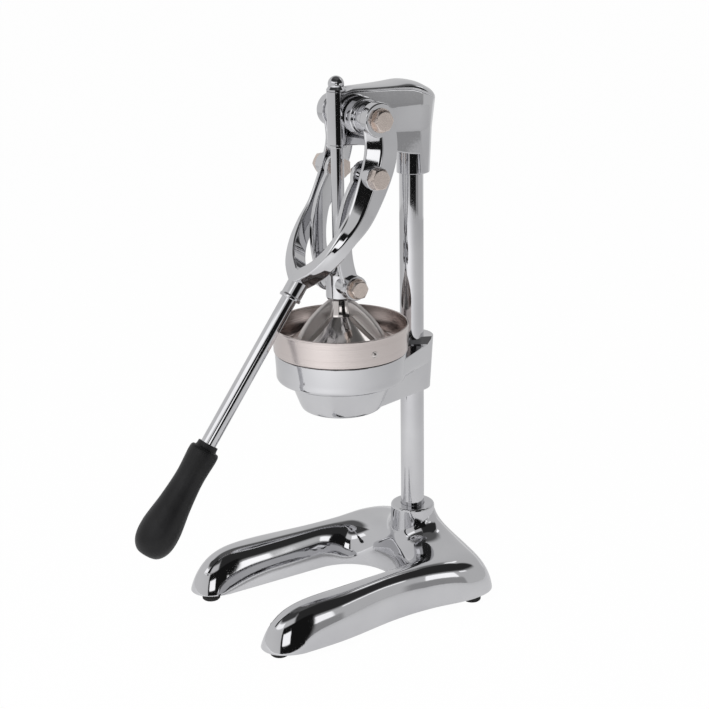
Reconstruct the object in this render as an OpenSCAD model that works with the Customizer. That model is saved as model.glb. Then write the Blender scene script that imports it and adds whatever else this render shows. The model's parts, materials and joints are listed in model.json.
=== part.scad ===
// Lever press for pomegranates: a horseshoe base, a column, a head with a guide sleeve, and a
// wishbone lever that drives a ribbed bell down into a strainer cup through two curved links.
// Lengths are in millimetres. The lever is shown pressed right down.

/* [Base] */
// Height of a rubber foot
foot_h = 9.5; // [7:0.5:13]
// Radius of a rubber foot
foot_r = 10; // [8:0.5:11]
// Half of the gap between the prongs
gap_half = 54; // [50:1:60]
// Distance of the gap's round end behind the pressing axis
gap_back = 56; // [52:1:58]
// Width of a prong at its tip
prong_w = 48; // [44:1:54]
// Distance from the pressing axis forward to the centre of a prong's round tip
prong_reach = 110; // [98:1:122]
// Half width of the base at its waist
waist_half = 92.5; // [88:0.5:100]
// Half width of the base at its rear corners
rear_half = 101; // [96:0.5:106]
// Distance of the base's rear edge behind the pressing axis
base_back = 142; // [138:1:152]
// Height of the casting's crown above its lower edge
base_h = 43.5; // [38:0.5:48]
// Wall of the base casting
base_wall = 5; // [4:0.5:6.5]
// Height of the column boss's top face above the table
boss_top = 87; // [82:1:96]
// Radius of the column boss at its top
boss_r = 23.5; // [21:0.5:26]

/* [Column] */
// Diameter of the column tube
column_d = 25; // [22:0.5:28]
// Wall of the column tube
column_wall = 2.5; // [2:0.1:4]
// Distance from the pressing axis back to the column axis
column_back = 88; // [86:0.5:92]
// Diameter of the bolt that holds the column to the base
column_bolt_d = 12; // [8:1:14]

/* [Bowl] */
// Height of the holder's rim above the table
holder_z = 278; // [252:1:290]
// Radius of the strainer cup and of the holder's rim
cup_r = 69.5; // [66:0.5:74]
// Height of the cup above the holder's rim
cup_h = 28.7; // [22:0.1:36]
// Sheet thickness of the cup
cup_wall = 1.2; // [0.8:0.1:2]
// Wall of the holder's rim
holder_wall = 4.5; // [3.5:0.1:6]
// Height of the holder's upright band
band_h = 29; // [24:1:34]
// Height of the funnel under the band
funnel_h = 32; // [26:1:40]
// Radius of the juice outlet
outlet_r = 16; // [10:0.5:22]
// Radius of the clamp round the column, at its top
clamp_r = 22.5; // [20.5:0.5:24.5]

/* [Head] */
// Height of the guide sleeve's lower end above the table
sleeve_z = 487; // [472:1:510]
// Length of the guide sleeve
sleeve_len = 55; // [50:1:64]
// Outer radius of the guide sleeve
sleeve_r = 9.6; // [9:0.1:11]
// Radius of the head's rounded back, at its widest
back_r = 24; // [21:0.5:27]
// Depth of the column socket below the sleeve's lower end
socket_drop = 35.5; // [28:0.5:44]
// Distance of the lever's pivot behind the pressing axis
pivot_back = 21.5; // [20.5:0.5:24]
// Height of the lever's pivot above the sleeve's lower end
pivot_rise = 30; // [26:1:34]

/* [Lever] */
// Distance from the lever's pivot to the link's upper bolt
crank = 56; // [50:1:60]
// Angle of that distance, forward of straight down
crank_angle = 6.7; // [2:0.1:12]
// Half of the gap between the fork's arms
fork_half = 34; // [33:0.5:38]
// Thickness of a fork arm
arm_t = 12; // [10:0.5:14]
// Depth of a fork arm at its pivot
arm_depth = 32; // [28:0.5:36]
// Distance of the socket's lower end ahead of the pivot
socket_fore = 80.6; // [74:0.2:90]
// Drop of the socket's lower end below the pivot
socket_low = 175.5; // [165:0.5:185]
// Angle of the lever bar from straight down
bar_angle = 36.1; // [30:0.1:44]
// Diameter of the lever bar
bar_d = 16; // [13:0.5:18]
// Length of bar in view between the socket and the grip
bar_len = 164; // [120:1:220]
// Length of the grip
grip_len = 126; // [100:1:150]
// Radius of the grip's bulb
grip_r = 20.5; // [18:0.5:23]
// Diameter of the hex bolts' shanks at the lever's pivot and at the links' upper ends
pivot_d = 12; // [8:0.5:14]

/* [Plunger] */
// Diameter of the press rod
rod_d = 13; // [11:0.5:14]
// Height of the bell
bell_h = 45.5; // [40:0.5:52]
// Radius of the bell's lower edge
bell_r = 54; // [50:0.5:58]
// Sheet thickness of the bell
bell_wall = 2; // [1.5:0.1:3]
// Gap left between the bell and the strainer cone for the pressed skins
press_gap = 4; // [3:0.5:8]
// Height of the crosshead's bolts above the top of the bell
pin_rise = 17; // [14:0.5:22]
// Radius of the crosshead's body
crosshead_r = 14; // [12:0.5:16]
// Half width of the crosshead across its bosses
crosshead_half = 21; // [18:0.5:22]
// Diameter of the crosshead's bolts
pin_d = 10; // [7:0.5:11]
// Thickness of a link
link_t = 6; // [4:0.5:7]
// Width of a link between its eyes
link_w = 17; // [14:0.5:19]
// How far a link bows forward of the line between its bolts
link_bow = 16.5; // [12:0.5:22]

/* [Fits] */
// Radial clearance of a part that turns or slides
run_gap = 0.05; // [0.02:0.01:0.1]
// Gap between flat faces that pass each other
side_gap = 0.3; // [0.2:0.05:0.6]
// Radial clearance of a part that is fixed in its hole
fit_gap = 0.05; // [0.02:0.01:0.1]

/* [Hidden] */
$fn = 72;
chrome = "#c8cbd0";
stainless = "#b8aca6";
black = "#17171a";
eps = 0.01;

// Places on the stand
base_z = foot_h;
column_r = column_d / 2;
boss_floor = base_z + 22;
boss_floor_t = 8;
column_foot = boss_floor + boss_floor_t;
sleeve_top = sleeve_z + sleeve_len;
column_top = sleeve_top - 14;
column_h = column_top - column_foot;

// Places of the three pivots: lever, link top and crosshead, as [y, z]
pivot = [pivot_back, sleeve_z + pivot_rise];
link_top = pivot + crank * [-sin(crank_angle), -cos(crank_angle)];
cup_floor = holder_z - 9;
strainer_top_r = 14;
cone_slope = (bell_h - 17.5) / (bell_r - 17.5);
bell_low = holder_z + 9;
bell_top = bell_low + bell_h;
link_low = [0, bell_top + pin_rise];

// Layers along X, from the middle outwards
link_in = crosshead_half + side_gap;
link_out = link_in + link_t;
arm_in = fork_half;
arm_out = fork_half + arm_t;
arm_mid = fork_half + arm_t / 2;
pad_out = arm_out + 2.4;

// Frame: the pressing axis lies behind the middle of the whole press
grip_end = pivot[0] - socket_fore - (bar_len + grip_len) * sin(bar_angle);
grip_bulge = (grip_r - 1.6) * cos(bar_angle) - 13 * sin(bar_angle) + 1.2;
press_y = (-(grip_end - grip_bulge) - base_back) / 2;

function mix(a, b, t) = a + (b - a) * t;
function squash_cos(a, p) = sign(cos(a)) * pow(abs(cos(a)), 2 / p);
function squash_sin(a, p) = sign(sin(a)) * pow(abs(sin(a)), 2 / p);

// Point on a smooth curve through the points p; t runs from 0 to the last point's index
function curve(p, t) =
    let (
        last = len(p) - 1,
        i = max(0, min(floor(t), last - 1)),
        f = t - i,
        a = p[max(i - 1, 0)],
        b = p[i],
        c = p[i + 1],
        d = p[min(i + 2, last)]
    )
    b + ((c - a) * f + (2 * a - 5 * b + 4 * c - d) * pow(f, 2) + (3 * b - a - 3 * c + d) * pow(f, 3)) / 2;

// Solid through a row of closed rings, each with the same number of points
module loft(rings) {
    n = len(rings[0]);
    last = len(rings) - 1;
    sides = [
        for (i = [0 : last - 1], j = [0 : n - 1])
            let (k = (j + 1) % n, a = i * n, b = (i + 1) * n)
                each [[a + j, b + j, b + k], [a + j, b + k, a + k]]
    ];
    ends = [[for (j = [0 : n - 1]) j], [for (j = [n - 1 : -1 : 0]) last * n + j]];
    polyhedron([for (r = rings) each r], concat(sides, ends));
}

// Moves a piece from the pressing axis to its place in the whole press
module place() translate([0, press_y, 0]) children();

// Cylinder along X between two distances, on the line through the point at [y, z]
module bar_x(at, x0, x1, r) {
    translate([x0, at[0], at[1]]) rotate([0, 90, 0]) cylinder(h = x1 - x0, r = r);
}

// Mirrors the right half of the press onto the left
module on_side(side) {
    if (side > 0) children();
    else mirror([1, 0, 0]) children();
}

// Hex bolt along X: head outside, shoulder through the piece that it holds, thread beyond it
module hex_bolt(at, head_in, head_t, flats, shoulder_in, shoulder_r, thread_in, thread_r) {
    crown = 0.8;
    translate([head_in, at[0], at[1]]) rotate([0, 90, 0]) {
        cylinder(h = head_t - crown, d = flats / cos(30), $fn = 6);
        translate([0, 0, head_t - crown]) cylinder(h = crown, r1 = flats / 2, r2 = flats / 2 - crown);
    }
    bar_x(at, shoulder_in, head_in + eps, shoulder_r);
    bar_x(at, thread_in, shoulder_in + eps, thread_r);
}

module washer_x(at, x0, t, r_in, r_out) {
    difference() {
        bar_x(at, x0, x0 + t, r_out);
        bar_x(at, x0 - 1, x0 + t + 1, r_in);
    }
}

// Ring at a height: a round of r1 on the pressing axis and a round of r2 behind it, joined by straight
// sides; every ring has the same number of points
ring_steps = 28;

function teardrop(r1, r2, reach, z) =
    let (start = 90 - acos((r1 - r2) / reach))
    concat(
        [
            for (i = [0 : ring_steps])
                let (a = mix(start, 180 - start, i / ring_steps))
                    [r2 * cos(a), reach + r2 * sin(a), z]
        ],
        [
            for (i = [0 : ring_steps])
                let (a = mix(180 - start, 360 + start, i / ring_steps))
                    [r1 * cos(a), r1 * sin(a), z]
        ]
    );

// Base casting

base_rows = 36;
base_cols = 12;
base_power = 2.3;
outline_last = 7;
tip_turn = 84;
swell_h = 25;
swell_w = 33;
tip_r = prong_w / 2;
tip_len = tip_r + 10;
crown_start = 60;
edge_lift = 1.5;
gap_centre = gap_back - gap_half;
foot_post_r = foot_r - 1;
front_foot = [gap_half + tip_r - 4, -prong_reach - 14];
rear_foot = [rear_half - 16, base_back - 36];
front_post_h = 24;
rear_post_h = 20;
screw_d = 5;
screw_len = 16;
foot_dish = 2.5;
foot_pad = foot_h - foot_dish;

outer_edge = [
    [0, base_back], [0.5 * rear_half, base_back - 2], [0.89 * rear_half, base_back - 13],
    [rear_half, base_back - 44], [waist_half + 1.5, base_back - 95], [waist_half + 1, gap_centre],
    [gap_half + prong_w - 1, -0.56 * prong_reach], [gap_half + prong_w - 0.5, -prong_reach]
];

// Plan of the gap's edge: a quarter turn round the gap's end, then straight along the prong
function inner_edge(t) =
    t < 5 ? [0, gap_centre] + gap_half * [sin(18 * t), cos(18 * t)]
          : [gap_half, mix(gap_centre, -prong_reach, (t - 5) / 2)];

// The crown of a prong falls towards its tip
function crown(y) =
    base_h * sqrt(1 - pow(max(0, (-y - crown_start) / (prong_reach + tip_len + 0.5 - crown_start)), 2.8));

// One section across the base: its two edges in plan and its crown, drawn in by inset
function base_row(t, inset) =
    let (u = abs(t), s = t < 0 ? -1 : 1)
    u <= outline_last
        ? let (
              a = inner_edge(u),
              b = curve(outer_edge, u),
              d = (b - a) / norm(b - a),
              p = a + d * inset,
              q = b - d * inset
          )
          [[s * p[0], p[1]], [s * q[0], q[1]], crown((a[1] + b[1]) / 2) - inset, 0]
        : let (
              turn = (u - outline_last) * tip_turn,
              r = tip_r - inset,
              x = gap_half + tip_r - 1.5 * sin(turn),
              y = -prong_reach - (tip_len - inset) * sin(turn),
              half = r * pow(cos(turn), 0.9)
          )
          [[s * (x - half), y], [s * (x + half), y],
           crown(y - inset * sin(turn)) - inset * cos(turn), edge_lift * sin(turn)];

// The crown swells towards the column boss
function swell(p) = swell_h * exp(-pow(norm(p - [0, column_back]) / swell_w, 2));

function base_section(t, inset) =
    let (row = base_row(t, inset))
    [
        for (j = [0 : base_cols])
            let (
                turn = 180 * (1 - j / base_cols),
                p = mix(row[0], row[1], (1 + squash_cos(turn, base_power)) / 2)
            )
            [p[0], p[1], base_z + mix(row[3], row[2] + swell(p), squash_sin(turn, base_power))]
    ];

module base_shell() {
    n = base_cols + 1;
    rows = 2 * base_rows + 1;
    steps = [for (k = [-base_rows : base_rows]) k / base_rows * (outline_last + 1)];
    points = [for (inset = [0, base_wall], t = steps) each base_section(t, inset)];
    inner = rows * n;
    skin = [
        for (i = [0 : rows - 2], j = [0 : base_cols - 1])
            let (a = i * n + j, b = a + n)
                each [[a, b + 1, b], [a, a + 1, b + 1]]
    ];
    lining = [for (f = skin) [f[2] + inner, f[1] + inner, f[0] + inner]];
    rim = concat(
        [for (i = [0 : rows - 1]) i * n + base_cols],
        [for (i = [rows - 1 : -1 : 0]) i * n]
    );
    edge = [
        for (i = [0 : len(rim) - 1])
            let (a = rim[i], b = rim[(i + 1) % len(rim)])
                each [[a, a + inner, b + inner], [a, b + inner, b]]
    ];
    last = (rows - 1) * n;
    tips = concat(
        [for (j = [1 : base_cols - 1]) [0, j + 1, j]],
        [for (j = [1 : base_cols - 1]) [last, last + j, last + j + 1]],
        [for (j = [1 : base_cols - 1]) [inner, inner + j, inner + j + 1]],
        [for (j = [1 : base_cols - 1]) [inner + last, inner + last + j + 1, inner + last + j]]
    );
    polyhedron(points, concat(skin, lining, edge, tips));
}

function foot_spot(right, front) =
    let (p = front ? front_foot : rear_foot)
    [right ? p[0] : -p[0], p[1], 0];

foot_spots = [for (right = [false, true], front = [true, false]) [foot_spot(right, front), front]];

module base_casting() {
    boss_edge = 3;
    color(chrome) difference() {
        union() {
            base_shell();
            translate([0, column_back, 0]) rotate_extrude() {
                polygon([
                    [0, boss_floor], [boss_r + 2.5, boss_floor], [boss_r + 2.5, base_z + base_h + 4],
                    [boss_r, boss_top - boss_edge], [boss_r - boss_edge, boss_top], [0, boss_top]
                ]);
                translate([boss_r - boss_edge, boss_top - boss_edge]) circle(boss_edge);
            }
            for (f = foot_spots)
                translate([f[0][0], f[0][1], base_z])
                    cylinder(h = f[1] ? front_post_h : rear_post_h, r = foot_post_r);
        }
        translate([0, column_back, column_foot]) cylinder(h = boss_top, r = column_r + fit_gap);
        translate([0, column_back, 0]) cylinder(h = boss_top, r = column_bolt_d / 2 + fit_gap);
        for (f = foot_spots)
            translate([f[0][0], f[0][1], 0]) cylinder(h = base_z + screw_len, r = screw_d / 2 + fit_gap);
    }
}

module foot(right, front) {
    color(black) translate(foot_spot(right, front)) difference() {
        rotate_extrude() polygon([
            [0, 0], [foot_r - 1.5, 0], [foot_r - 0.5, 1], [foot_r, foot_h], [0, foot_h]
        ]);
        translate([0, 0, -1]) cylinder(h = foot_h + 2, r = screw_d / 2 + fit_gap);
        translate([0, 0, -1]) cylinder(h = foot_dish + 1, r = screw_d + 0.5);
    }
}

module foot_screws() {
    head_t = 2;
    color(stainless) for (f = foot_spots) translate([f[0][0], f[0][1], foot_dish - head_t]) {
        cylinder(h = head_t, r1 = screw_d - 1, r2 = screw_d);
        cylinder(h = head_t + foot_pad + screw_len - 1, r = screw_d / 2);
    }
}

// Column

plug_h = 24;
column_head_t = 8;
column_flats = 19;
column_washer_r = 16;
column_washer_t = 2.5;

module column() {
    color(chrome) translate([0, column_back, column_foot]) difference() {
        cylinder(h = column_h, r = column_r);
        translate([0, 0, -1]) cylinder(h = column_h + 2, r = column_r - column_wall);
    }
}

module column_plug() {
    color(stainless) translate([0, column_back, column_foot]) difference() {
        cylinder(h = plug_h, r = column_r - column_wall - fit_gap);
        translate([0, 0, -1]) cylinder(h = plug_h - 4, r = column_bolt_d / 2 + fit_gap);
    }
}

module column_washer() {
    color(stainless) translate([0, column_back, boss_floor - column_washer_t]) difference() {
        cylinder(h = column_washer_t, r = column_washer_r);
        translate([0, 0, -1]) cylinder(h = column_washer_t + 2, r = column_bolt_d / 2 + fit_gap);
    }
}

module column_bolt() {
    seat = boss_floor - column_washer_t;
    color(stainless) translate([0, column_back, 0]) {
        translate([0, 0, seat - column_head_t])
            cylinder(h = column_head_t, d = column_flats / cos(30), $fn = 6);
        translate([0, 0, seat - eps])
            cylinder(h = column_foot + plug_h - 8 - seat, r = column_bolt_d / 2);
    }
}

// Head casting

boss_neck_r = 15.2;
boss_flange_r = 18.8;
boss_flange_end = crosshead_half - side_gap;
boss_end = fork_half - side_gap;
socket_z = sleeve_z - socket_drop;
socket_r = column_r + 2.5;
web_low = socket_z + 21;
grub_d = 8;
grub_z = socket_z + 26;
head_len = column_back + back_r;
head_turn = acos((sleeve_r - back_r) / column_back);
lip_t = 3;
crown_over = 0.35;
crown_rows = 18;
crown_cols = 20;

// Half width of the head at y: straight sides from the sleeve, then the rounded back
function head_half(y) =
    y > column_back + back_r * cos(head_turn)
        ? sqrt(max(0, pow(back_r, 2) - pow(y - column_back, 2)))
        : (sleeve_r - y * cos(head_turn)) / sin(head_turn);

// Crown over the head: distance back as a share of the head's length, then the heights of its rim
// and of its ridge from the sleeve's top
crown_shape = [
    [0, -1, 1.5], [0.13, 0.2, 2.9], [0.39, 0, 3.1], [0.535, -0.3, 3.6], [0.65, -1.3, 4.6],
    [0.715, -2.9, 4.3], [0.786, -6, 2.5], [0.857, -9.5, -1.2], [0.93, -13, -5.8], [0.996, -16.5, -14.5]
];

function crown_at(t) = curve(crown_shape, t * (len(crown_shape) - 1));

function crown_section(t) =
    let (
        c = crown_at(t),
        y = c[0] * head_len,
        half = head_half(y) + crown_over,
        rim = sleeve_top + c[1]
    )
    [
        for (j = [0 : crown_cols - 1])
            let (a = -360 * j / crown_cols)
                [
                    half * squash_cos(a, 2.5), y,
                    rim + (sin(a) >= 0 ? (c[2] - c[1]) * sin(a) : lip_t * squash_sin(a, 4))
                ]
    ];

// Outline of the head seen from the side, as [y, z]: web and socket below, the crown's rim above
head_side = concat(
    [
        [0, sleeve_z + 2.5], [pivot_back + 4, sleeve_z + 1], [pivot_back + 26, web_low + 8],
        [column_back - 20, web_low + 2.5], [column_back - 4, web_low], [column_back - 4, socket_z],
        [head_len + 1, socket_z], [head_len + 1, sleeve_top + crown_at(1)[1] - 1]
    ],
    [
        for (i = [crown_rows : -1 : 0])
            let (c = crown_at(i / crown_rows))
                [c[0] * head_len, sleeve_top + c[1] - 1]
    ]
);

// Heights of the head with the radius of its back there
head_rows = [
    [socket_z, back_r - 6], [socket_z + 1, back_r - 5.2], [sleeve_top - 44, back_r - 3],
    [sleeve_top - 18, back_r], [sleeve_top + 1, back_r]
];

module head_body() {
    intersection() {
        loft([for (row = head_rows) teardrop(sleeve_r, row[1], column_back, row[0])]);
        translate([-back_r - 1, 0, 0]) rotate([90, 0, 90])
            linear_extrude(height = 2 * back_r + 2) polygon(head_side);
    }
}

module head_casting() {
    color(chrome) difference() {
        union() {
            translate([0, 0, sleeve_z]) cylinder(h = sleeve_len, r = sleeve_r);
            translate([0, 0, sleeve_z]) cylinder(h = 2.5, r = sleeve_r + 0.5);
            head_body();
            loft([for (i = [0 : crown_rows]) crown_section(i / crown_rows)]);
            translate([0, column_back, socket_z]) cylinder(h = web_low - socket_z + 5, r = socket_r);
            bar_x(pivot, -boss_flange_end, boss_flange_end, boss_flange_r);
            bar_x(pivot, -boss_end, boss_end, boss_neck_r);
        }
        translate([0, 0, sleeve_z - 1]) cylinder(h = sleeve_len + 20, r = rod_d / 2 + run_gap);
        translate([0, 0, sleeve_top]) cylinder(h = 20, r = sleeve_r + 2);
        translate([0, column_back, socket_z - 1])
            cylinder(h = column_top - socket_z + 1, r = column_r + fit_gap);
        for (side = [-1, 1]) on_side(side)
            bar_x(pivot, boss_end - pivot_thread, boss_end + 1, pivot_thread_r + fit_gap);
        translate([0, column_back, grub_z]) rotate([-90, 0, 0])
            cylinder(h = back_r + 5, r = grub_d / 2 + fit_gap);
    }
}

// Socket-headed grub screw that bears on the column from behind
module grub_screw(z, depth) {
    color(stainless) translate([0, column_back + column_r, z]) rotate([-90, 0, 0]) difference() {
        cylinder(h = depth, r = grub_d / 2);
        translate([0, 0, depth - 4]) cylinder(h = 5, d = 4 / cos(30), $fn = 6);
    }
}

module head_set_screw() grub_screw(grub_z, back_r - column_r - 6);

// Bowl holder

band_r = cup_r - 1.7;
holder_in_r = band_r - holder_wall;
funnel_top_r = cup_r - 16;
funnel_low_r = 41;
band_low = holder_z - band_h;
funnel_low = band_low - funnel_h;
clamp_low = funnel_low + 4;
clamp_taper = 3.5;
arm_drop = 5.5;
ramp_start = column_back + 2;
ramp_end = column_back + 14;
edge_r = 7;
floor_t = 4.5;

// Radius of the clamp at a height
function clamp_at(z) = clamp_r - clamp_taper * (holder_z - z) / (holder_z - clamp_low);

// Ring of the arm at a height: from a round of the bowl back to the clamp
function arm_ring(z, r) = teardrop(r, clamp_at(z), column_back, z);

module bowl_holder() {
    color(chrome) difference() {
        union() {
            rotate_extrude() {
                polygon([
                    [0, funnel_low], [funnel_low_r, funnel_low], [funnel_low_r + 2.5, funnel_low + 5],
                    [funnel_top_r, band_low], [band_r - 1 - edge_r, band_low],
                    [band_r - 1, band_low + edge_r], [band_r, holder_z], [0, holder_z]
                ]);
                translate([band_r - 1 - edge_r, band_low + edge_r]) circle(edge_r);
            }
            difference() {
                loft([
                    arm_ring(band_low + 1, band_r - 7), arm_ring(band_low + 6, band_r - 1.6),
                    arm_ring(holder_z, band_r - 1)
                ]);
                translate([-cup_r, 0, 0]) rotate([90, 0, 90]) linear_extrude(height = 2 * cup_r)
                    polygon([
                        [0, holder_z - arm_drop], [ramp_start, holder_z - arm_drop],
                        [ramp_end, holder_z], [ramp_end, holder_z + 20], [0, holder_z + 20]
                    ]);
            }
            loft([arm_ring(clamp_low, funnel_low_r + 1), arm_ring(band_low + 3, funnel_low_r + 1)]);
        }
        rotate_extrude() polygon([
            [0, funnel_low + floor_t], [outlet_r, funnel_low + floor_t],
            [funnel_low_r - 5, funnel_low + floor_t + 4], [funnel_top_r - 6, band_low + 3],
            [holder_in_r, band_low + 10], [holder_in_r, holder_z + 1], [0, holder_z + 1]
        ]);
        translate([0, 0, funnel_low - 1]) cylinder(h = band_h, r = outlet_r);
        translate([0, column_back, clamp_low - 1])
            cylinder(h = band_h + funnel_h, r = column_r + fit_gap);
        translate([0, column_back, band_low]) rotate([-90, 0, 0])
            cylinder(h = clamp_r + 5, r = grub_d / 2 + fit_gap);
    }
}

module holder_set_screw() grub_screw(band_low, clamp_at(band_low) - column_r - 1.5);

// Strainer cup, its rivets and the strainer cone

lip_gap = 0.4;
ledge_w = 10;
rivet_z = holder_z + 0.45 * cup_h;
rivet_r = 2.4;
rivet_collar_r = 3.7;
rivet_turn = [-3, 117, 237];
cone_edge_r = holder_in_r - lip_gap - cup_wall - 0.3;
cone_foot_r = bell_r - 1;
slot_w = 2;
slot_rings = [[20, 12], [32, 20], [44, 28]];

module strainer_cup() {
    neck_r = holder_in_r - lip_gap;
    color(stainless) rotate_extrude() {
        polygon([
            [neck_r - ledge_w, cup_floor], [neck_r, cup_floor], [neck_r, holder_z + 0.2],
            [cup_r - 0.6, holder_z + 0.2], [cup_r, holder_z + cup_h - 0.8],
            [cup_r - cup_wall, holder_z + cup_h - 0.8],
            [cup_r - cup_wall - 0.6, holder_z + 0.2 + cup_wall],
            [neck_r - cup_wall, holder_z + 0.2 + cup_wall], [neck_r - cup_wall, cup_floor + cup_wall],
            [neck_r - ledge_w, cup_floor + cup_wall]
        ]);
        translate([cup_r - cup_wall / 2, holder_z + cup_h - 0.8]) circle(0.8);
    }
}

// Radius of the cup's wall at a height; the rivets seat on it at their upper edges
function cup_out(z) = cup_r - 0.6 * (holder_z + cup_h - 0.8 - z) / (cup_h - 1);
rivet_seat = cup_out(rivet_z + rivet_collar_r) + fit_gap;

module cup_rivets() {
    color(stainless) for (a = rivet_turn) rotate([0, 0, a]) translate([rivet_seat, 0, rivet_z])
        rotate([0, 90, 0]) {
            cylinder(h = 0.6, r1 = rivet_collar_r, r2 = rivet_collar_r - 0.3, $fn = 36);
            intersection() {
                translate([0, 0, -0.8]) sphere(rivet_r + 0.2, $fn = 36);
                cylinder(h = rivet_r, r = rivet_r, $fn = 36);
            }
        }
}

// Height of the strainer cone's upper face at a radius: the bell's inside less the pressing gap
function cone_z(r) = bell_low + (bell_r - r) * cone_slope - bell_wall - press_gap;

module strainer_cone() {
    t = 1;
    floor_z = cup_floor + cup_wall;
    color(stainless) difference() {
        rotate_extrude() polygon([
            [0, cone_z(strainer_top_r) + 2 - t], [strainer_top_r - 2, cone_z(strainer_top_r) + 1.5 - t],
            [cone_foot_r, floor_z], [cone_edge_r, floor_z], [cone_edge_r, floor_z + t],
            [cone_foot_r + 1, floor_z + t], [strainer_top_r, cone_z(strainer_top_r)],
            [strainer_top_r - 3, cone_z(strainer_top_r) + 2], [0, cone_z(strainer_top_r) + 2.4]
        ]);
        for (ring = slot_rings, k = [0 : ring[1] - 1])
            rotate([0, 0, 360 * (k + 0.5) / ring[1]])
                translate([ring[0] - 4, -slot_w / 2, cup_floor - 2]) cube([8, slot_w, bell_h]);
    }
}

// Press rod, cap, crosshead and bell

thread_below = 15;
rod_low = bell_top - thread_below;
rod_top = sleeve_top + 10;
cap_seat = sleeve_top + side_gap;
cap_r = 8;
cap_h = 14.5;
crosshead_h = 41;
pin_boss_r = 11;
cross_pin_d = 4;
cross_pin_z = bell_top + 33;
bell_neck_r = 12;
bell_seat_t = 4;
rib_count = 3;
rib_half_w = 5.2;
bell_rows = 14;
bell_cols = 30;
nut_t = 7;
bell_washer_t = 1.6;
rod_flats = 17;

module press_rod() {
    color(chrome) translate([0, 0, rod_low]) difference() {
        cylinder(h = rod_top - rod_low, r = rod_d / 2);
        translate([0, 0, cross_pin_z - rod_low]) rotate([90, 0, 0])
            cylinder(h = 2 * rod_d, r = cross_pin_d / 2 + fit_gap, center = true);
    }
}

module rod_cap() {
    skirt = 3.5;
    color(chrome) difference() {
        translate([0, 0, cap_seat]) rotate_extrude() intersection() {
            union() {
                polygon([
                    [0, 0], [cap_r + 1.6, 0], [cap_r + 1.6, 1.5], [cap_r - 0.6, skirt + 1], [0, skirt + 1]
                ]);
                translate([0, cap_h - cap_r]) circle(cap_r);
                translate([0, skirt]) square([cap_r - 0.6, cap_h - cap_r - skirt]);
            }
            square([cap_r + 5, cap_h + 5]);
        }
        translate([0, 0, cap_seat - 1])
            cylinder(h = rod_top - cap_seat + 1 + fit_gap, r = rod_d / 2 + fit_gap);
    }
}

module crosshead() {
    color(chrome) difference() {
        union() {
            translate([0, 0, bell_top]) rotate_extrude() polygon([
                [0, 0], [crosshead_r - 1.5, 0], [crosshead_r, 2], [crosshead_r, crosshead_h - 12],
                [crosshead_r - 4.5, crosshead_h], [0, crosshead_h]
            ]);
            bar_x(link_low, -crosshead_half, crosshead_half, pin_boss_r);
        }
        translate([0, 0, bell_top - 1]) cylinder(h = crosshead_h + 2, r = rod_d / 2 + fit_gap);
        for (side = [-1, 1]) on_side(side)
            bar_x(link_low, rod_d / 2 + 1, crosshead_half + 1, pin_thread_r + fit_gap);
        translate([0, 0, cross_pin_z]) rotate([90, 0, 0])
            cylinder(h = 4 * crosshead_r, r = cross_pin_d / 2 + fit_gap, center = true);
    }
}

module crosshead_pin() {
    color(stainless) translate([0, 0, cross_pin_z]) rotate([90, 0, 0])
        cylinder(h = 2 * crosshead_r - 4, r = cross_pin_d / 2, center = true);
}

// The bell's outline between its ribs and along a rib: radius, and height from the bell's lower edge
bell_valley = [
    [bell_neck_r, bell_h], [bell_neck_r + 1, bell_h - 7.5], [bell_neck_r + 3, bell_h - 14.5],
    [bell_neck_r + 5.5, bell_h - 17.5], [mix(17.5, bell_r, 0.3), 0.7 * (bell_h - 17.5)],
    [mix(17.5, bell_r, 0.65), 0.35 * (bell_h - 17.5)], [bell_r, 0]
];
bell_ridge = [
    [bell_neck_r, bell_h], [bell_neck_r + 3, bell_h - 1.5], [bell_neck_r + 11, bell_h - 6],
    [bell_r - 21, bell_h - 13.5], [bell_r - 12, bell_h - 22.5], [bell_r - 5, 13], [bell_r, 0]
];

// Angles round the bell, from 0 to 1 within the share of each rib and closer together at the rib
rib_turn = 360 / rib_count;
bell_turns = [
    for (k = [0 : rib_count - 1], j = [0 : bell_cols - 1])
        let (u = 2 * j / bell_cols - 1)
            [k * rib_turn - 90, rib_turn / 2 * (0.28 * u + 0.72 * pow(u, 3))]
];

// Point of the bell's outer or inner face: row runs from the top to the lower edge, turn holds the
// angle of the rib and the angle away from it
function bell_point(row, turn, inset) =
    let (
        t = row * (len(bell_valley) - 1),
        ridge = curve(bell_ridge, t),
        away = ridge[0] * abs(turn[1]) * PI / 180,
        rib = exp(-pow(away / (rib_half_w - 0.8 * inset), 6)),
        p = mix(curve(bell_valley, t), ridge, rib),
        angle = turn[0] + turn[1],
        r = p[0] - inset * mix(1, 0.8, row),
        z = p[1] - inset * (row < 0.999 ? mix(2, 0.7, min(1, 3 * row)) : 0)
    )
    [r * cos(angle), r * sin(angle), bell_low + z];

module bell_shell() {
    n = len(bell_turns);
    points = [
        for (inset = [0, bell_wall], i = [0 : bell_rows], turn = bell_turns)
            bell_point(i / bell_rows, turn, inset)
    ];
    inner = (bell_rows + 1) * n;
    skin = [
        for (i = [0 : bell_rows - 1], j = [0 : n - 1])
            let (k = (j + 1) % n, a = i * n, b = a + n)
                each [[a + j, b + k, b + j], [a + j, a + k, b + k]]
    ];
    lining = [for (f = skin) [f[2] + inner, f[1] + inner, f[0] + inner]];
    low = bell_rows * n;
    edge = [
        for (j = [0 : n - 1])
            let (a = low + j, b = low + (j + 1) % n)
                each [[a, b, b + inner], [a, b + inner, a + inner]]
    ];
    caps = [[for (j = [n - 1 : -1 : 0]) j], [for (j = [0 : n - 1]) inner + j]];
    polyhedron(points, concat(skin, lining, edge, caps));
}

module presser_bell() {
    color(stainless) difference() {
        bell_shell();
        translate([0, 0, bell_top - 20]) cylinder(h = 40, r = rod_d / 2 + fit_gap);
    }
}

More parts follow.
